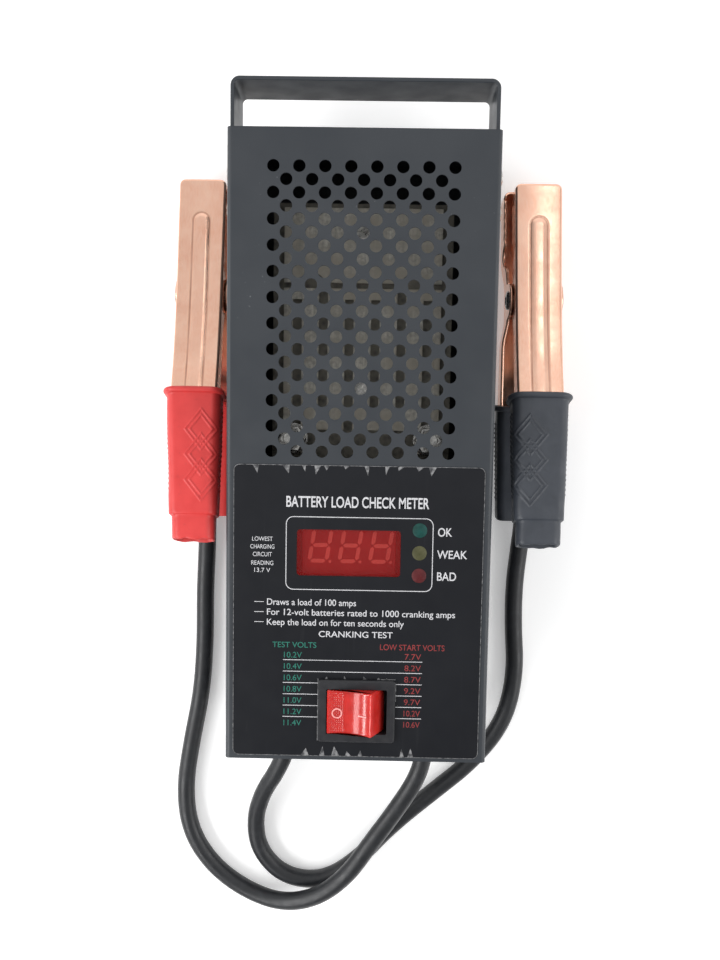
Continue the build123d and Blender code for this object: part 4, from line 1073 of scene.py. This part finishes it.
def make_display():
    """Digit block with three slanted digits; their tops are hidden by the window's edge."""
    low, high = [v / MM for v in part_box("display_module")]
    face = high.z - 0.35
    sunk, proud = face - 0.05, face + 0.12
    block = add_piece("digit_block", prism(rounded_outline(low.x, high.x, low.y, high.y, 0.5), low.z, face),
                      "display_block", replaces="display_module")
    edge = block.modifiers.new("edge", "BEVEL")
    edge.width = 0.25 * MM
    edge.segments = 2
    bottom, top = DIGIT_BASE_Y + STROKE / 2, DIGIT_BASE_Y + DIGIT_H - STROKE / 2
    middle = (bottom + top) / 2
    parts = []
    for digit_x in DIGITS_X:
        left, right = digit_x + STROKE / 2, digit_x + DIGIT_W - STROKE / 2
        ends = [(left, y, right, y) for y in (bottom, middle, top)]
        ends += [(x, y0, x, y1) for y0, y1 in ((bottom, middle), (middle, top)) for x in (left, right)]
        for shape in (segment(*four) for four in ends):
            if max(y for _, y in shape) < high.y - 0.1:
                parts.append(prism(shape, sunk, proud))
        dot = circle(DOT_R, 16, digit_x + DIGIT_W + 0.75, DIGIT_BASE_Y + 0.6)
        parts.append(prism(dot, sunk, proud))
    add_piece("digit_segments", merge(parts), "display_block", finish="segment_pale")


# ---- fasteners and grommets ----
def pan_head(radius, height, recess):
    """Points and faces of a pan head on +Z with a cross recess."""
    turns = 48
    radii = np.concatenate([np.linspace(0.02, recess * 1.25, 9), np.linspace(recess * 1.4, radius, 7)])
    points = []
    for r in radii:
        dome = height * (1 - 0.42 * (r / radius) ** 2.4)
        reach = float(1 - smooth_step(r, recess * 0.85, recess * 1.15))
        for x, y in circle(r, turns):
            slot_depth = float(1 - smooth_step(min(abs(x), abs(y)), recess * 0.16, recess * 0.3))
            points.append((x, y, dome - 0.62 * height * slot_depth * reach))
    for r, z in ((radius, height * 0.3), (radius * 0.98, 0.0)):
        points += [(x, y, z) for x, y in circle(r, turns)]
    faces = mirrored(strip_faces(len(radii) + 2, turns))
    return points, faces + [tuple(range(turns))]


def make_side_screws(node, ys, z, radius, height, shank):
    """Pan-head screws through both side walls, with their shanks."""
    low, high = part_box("front_cover")
    parts = []
    draw = random.Random(len(ys))
    thread = [(shank / 2, 0.1), (shank / 2, -5.5), (shank / 2 - 0.5, -6.0)]
    for y in ys:
        for side, wall in ((-1, low.x / MM), (1, high.x / MM)):
            points, faces = merge([pan_head(radius, height, radius * 0.62), lathe(thread, 24)])
            turn = Matrix.Rotation(draw.uniform(0, math.pi), 4, "Z")
            stand = Matrix.Rotation(side * math.pi / 2, 4, "Y")
            spot = Matrix.Translation((wall, y, z))
            parts.append(([spot @ stand @ turn @ Vector(p) for p in points], faces))
    add_piece(f"{node}_heads", merge(parts), "zinc_steel", sharp=35, replaces=node)


def make_grommet(name):
    """Ribbed rubber strain relief in the end wall."""
    low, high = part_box(name)
    centre = ((low.x + high.x) / 2 / MM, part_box("rear_cover")[0].y / MM, (low.z + high.z) / 2 / MM)
    bore = LEAD_D / 2 + 0.02
    profile = [(bore, 3.0), (6.9, 3.0), (7.0, 2.6), (7.0, 1.4), (6.6, 1.0), (5.5, 1.0), (5.5, 0.0),
               (6.6, 0.0), (7.0, -0.4), (7.0, -1.4), (6.6, -2.0), (5.7, -2.1), (5.45, -2.5), (5.5, -3.0),
               (5.2, -3.3), (5.25, -3.8), (4.95, -4.1), (5.0, -4.6), (4.6, -5.0), (bore, -5.0), (bore, 3.0)]
    points, faces = lathe(profile, 44, "Y", centre)
    return add_piece(f"{name}_rubber", (points, mirrored(faces)), "grommet_rubber", sharp=30, replaces=name)


# ---- carried-over nodes ----
SLOT_OF = {row["node"]: row["material_slot"] for row in frame["record"]["subparts"]}
BROKEN_EDGES = {"carry_handle": 0.35, "switch_housing": 0.15,
                "terminal_nuts": 0.35, "load_screws": 0.25, "heat_spreader": 0.12, "load_element": 0.12,
                "insulator_board": 0.15, "circuit_board": 0.12, "handle_nuts": 0.3}

WELD_GAP = 0.002
EDGE_ANGLE = 32  # degrees; gentler bends stay as they are


def dress_nodes():
    """Gives every carried-over node its finish, and breaks the sharp edges of those that show."""
    for name, node in frame["nodes"].items():
        node.data.materials.clear()
        node.data.materials.append(FINISHES[SLOT_OF[name]])
        if name in BROKEN_EDGES:
            weld = node.modifiers.new("weld", "WELD")
            weld.merge_threshold = WELD_GAP * MM
            edge = node.modifiers.new("edge", "BEVEL")
            edge.limit_method = "ANGLE"
            edge.angle_limit = math.radians(EDGE_ANGLE)
            edge.width = BROKEN_EDGES[name] * MM
            edge.segments = 2
            node.modifiers.new("shading", "WEIGHTED_NORMAL")


# ---- build ----
make_finishes()
for clamp in SIDES:
    ribbed_copper(clamp)
make_camera()
make_world(0.4, 0.93)
make_floor()
soft_light("window_top", (-0.63, -0.3, 0.69), (1.2, 0.16), 4.4)
soft_light("window_foot", (-0.79, -0.3, 0.5), (1.2, 0.07), 3.8)
soft_light("fill", (0.75, -0.15, 0.5), (0.8, 0.5), 3.2)
soft_light("strip", (0.31, 0.63, 0.95), (0.1, 0.16), 0.17)
dress_nodes()
leads = {colour: make_lead(colour) for colour in SIDES}
make_rocker()
make_rocker_marks()
lettering("label_words_white", WORDS_WHITE, "white_print")
lettering("label_words_green", WORDS_GREEN + value_words(LOAD_VOLTS, -29.2, -22.0), "green_print")
lettering("label_words_red", WORDS_RED + value_words(CRANK_VOLTS, 19.4, 26.0), "red_print")
label_rules()
label_wear()
make_display()
make_side_screws("handle_screws", (96.0, 110.0), 47.3, 3.8, 2.2, 4.0)
make_side_screws("cover_screws", (-105.0, 0.0, 88.0), 7.0, 2.8, 1.8, 3.0)
LEAVES_BY = {"red": "right_grommet", "black": "left_grommet"}
grommets = {name: make_grommet(name) for name in ("left_grommet", "right_grommet")}
for colour, lead in leads.items():
    pieces = [make_jaw(colour, "upper"), make_jaw(colour, "lower")]
    pieces += [make_grip(colour, "upper"), make_grip(colour, "lower"), make_rivet(colour)]
    pieces += make_spring(colour)
    pieces += [grommets[LEAVES_BY[colour]], frame["nodes"][f"{colour}_cable_crimp"]]
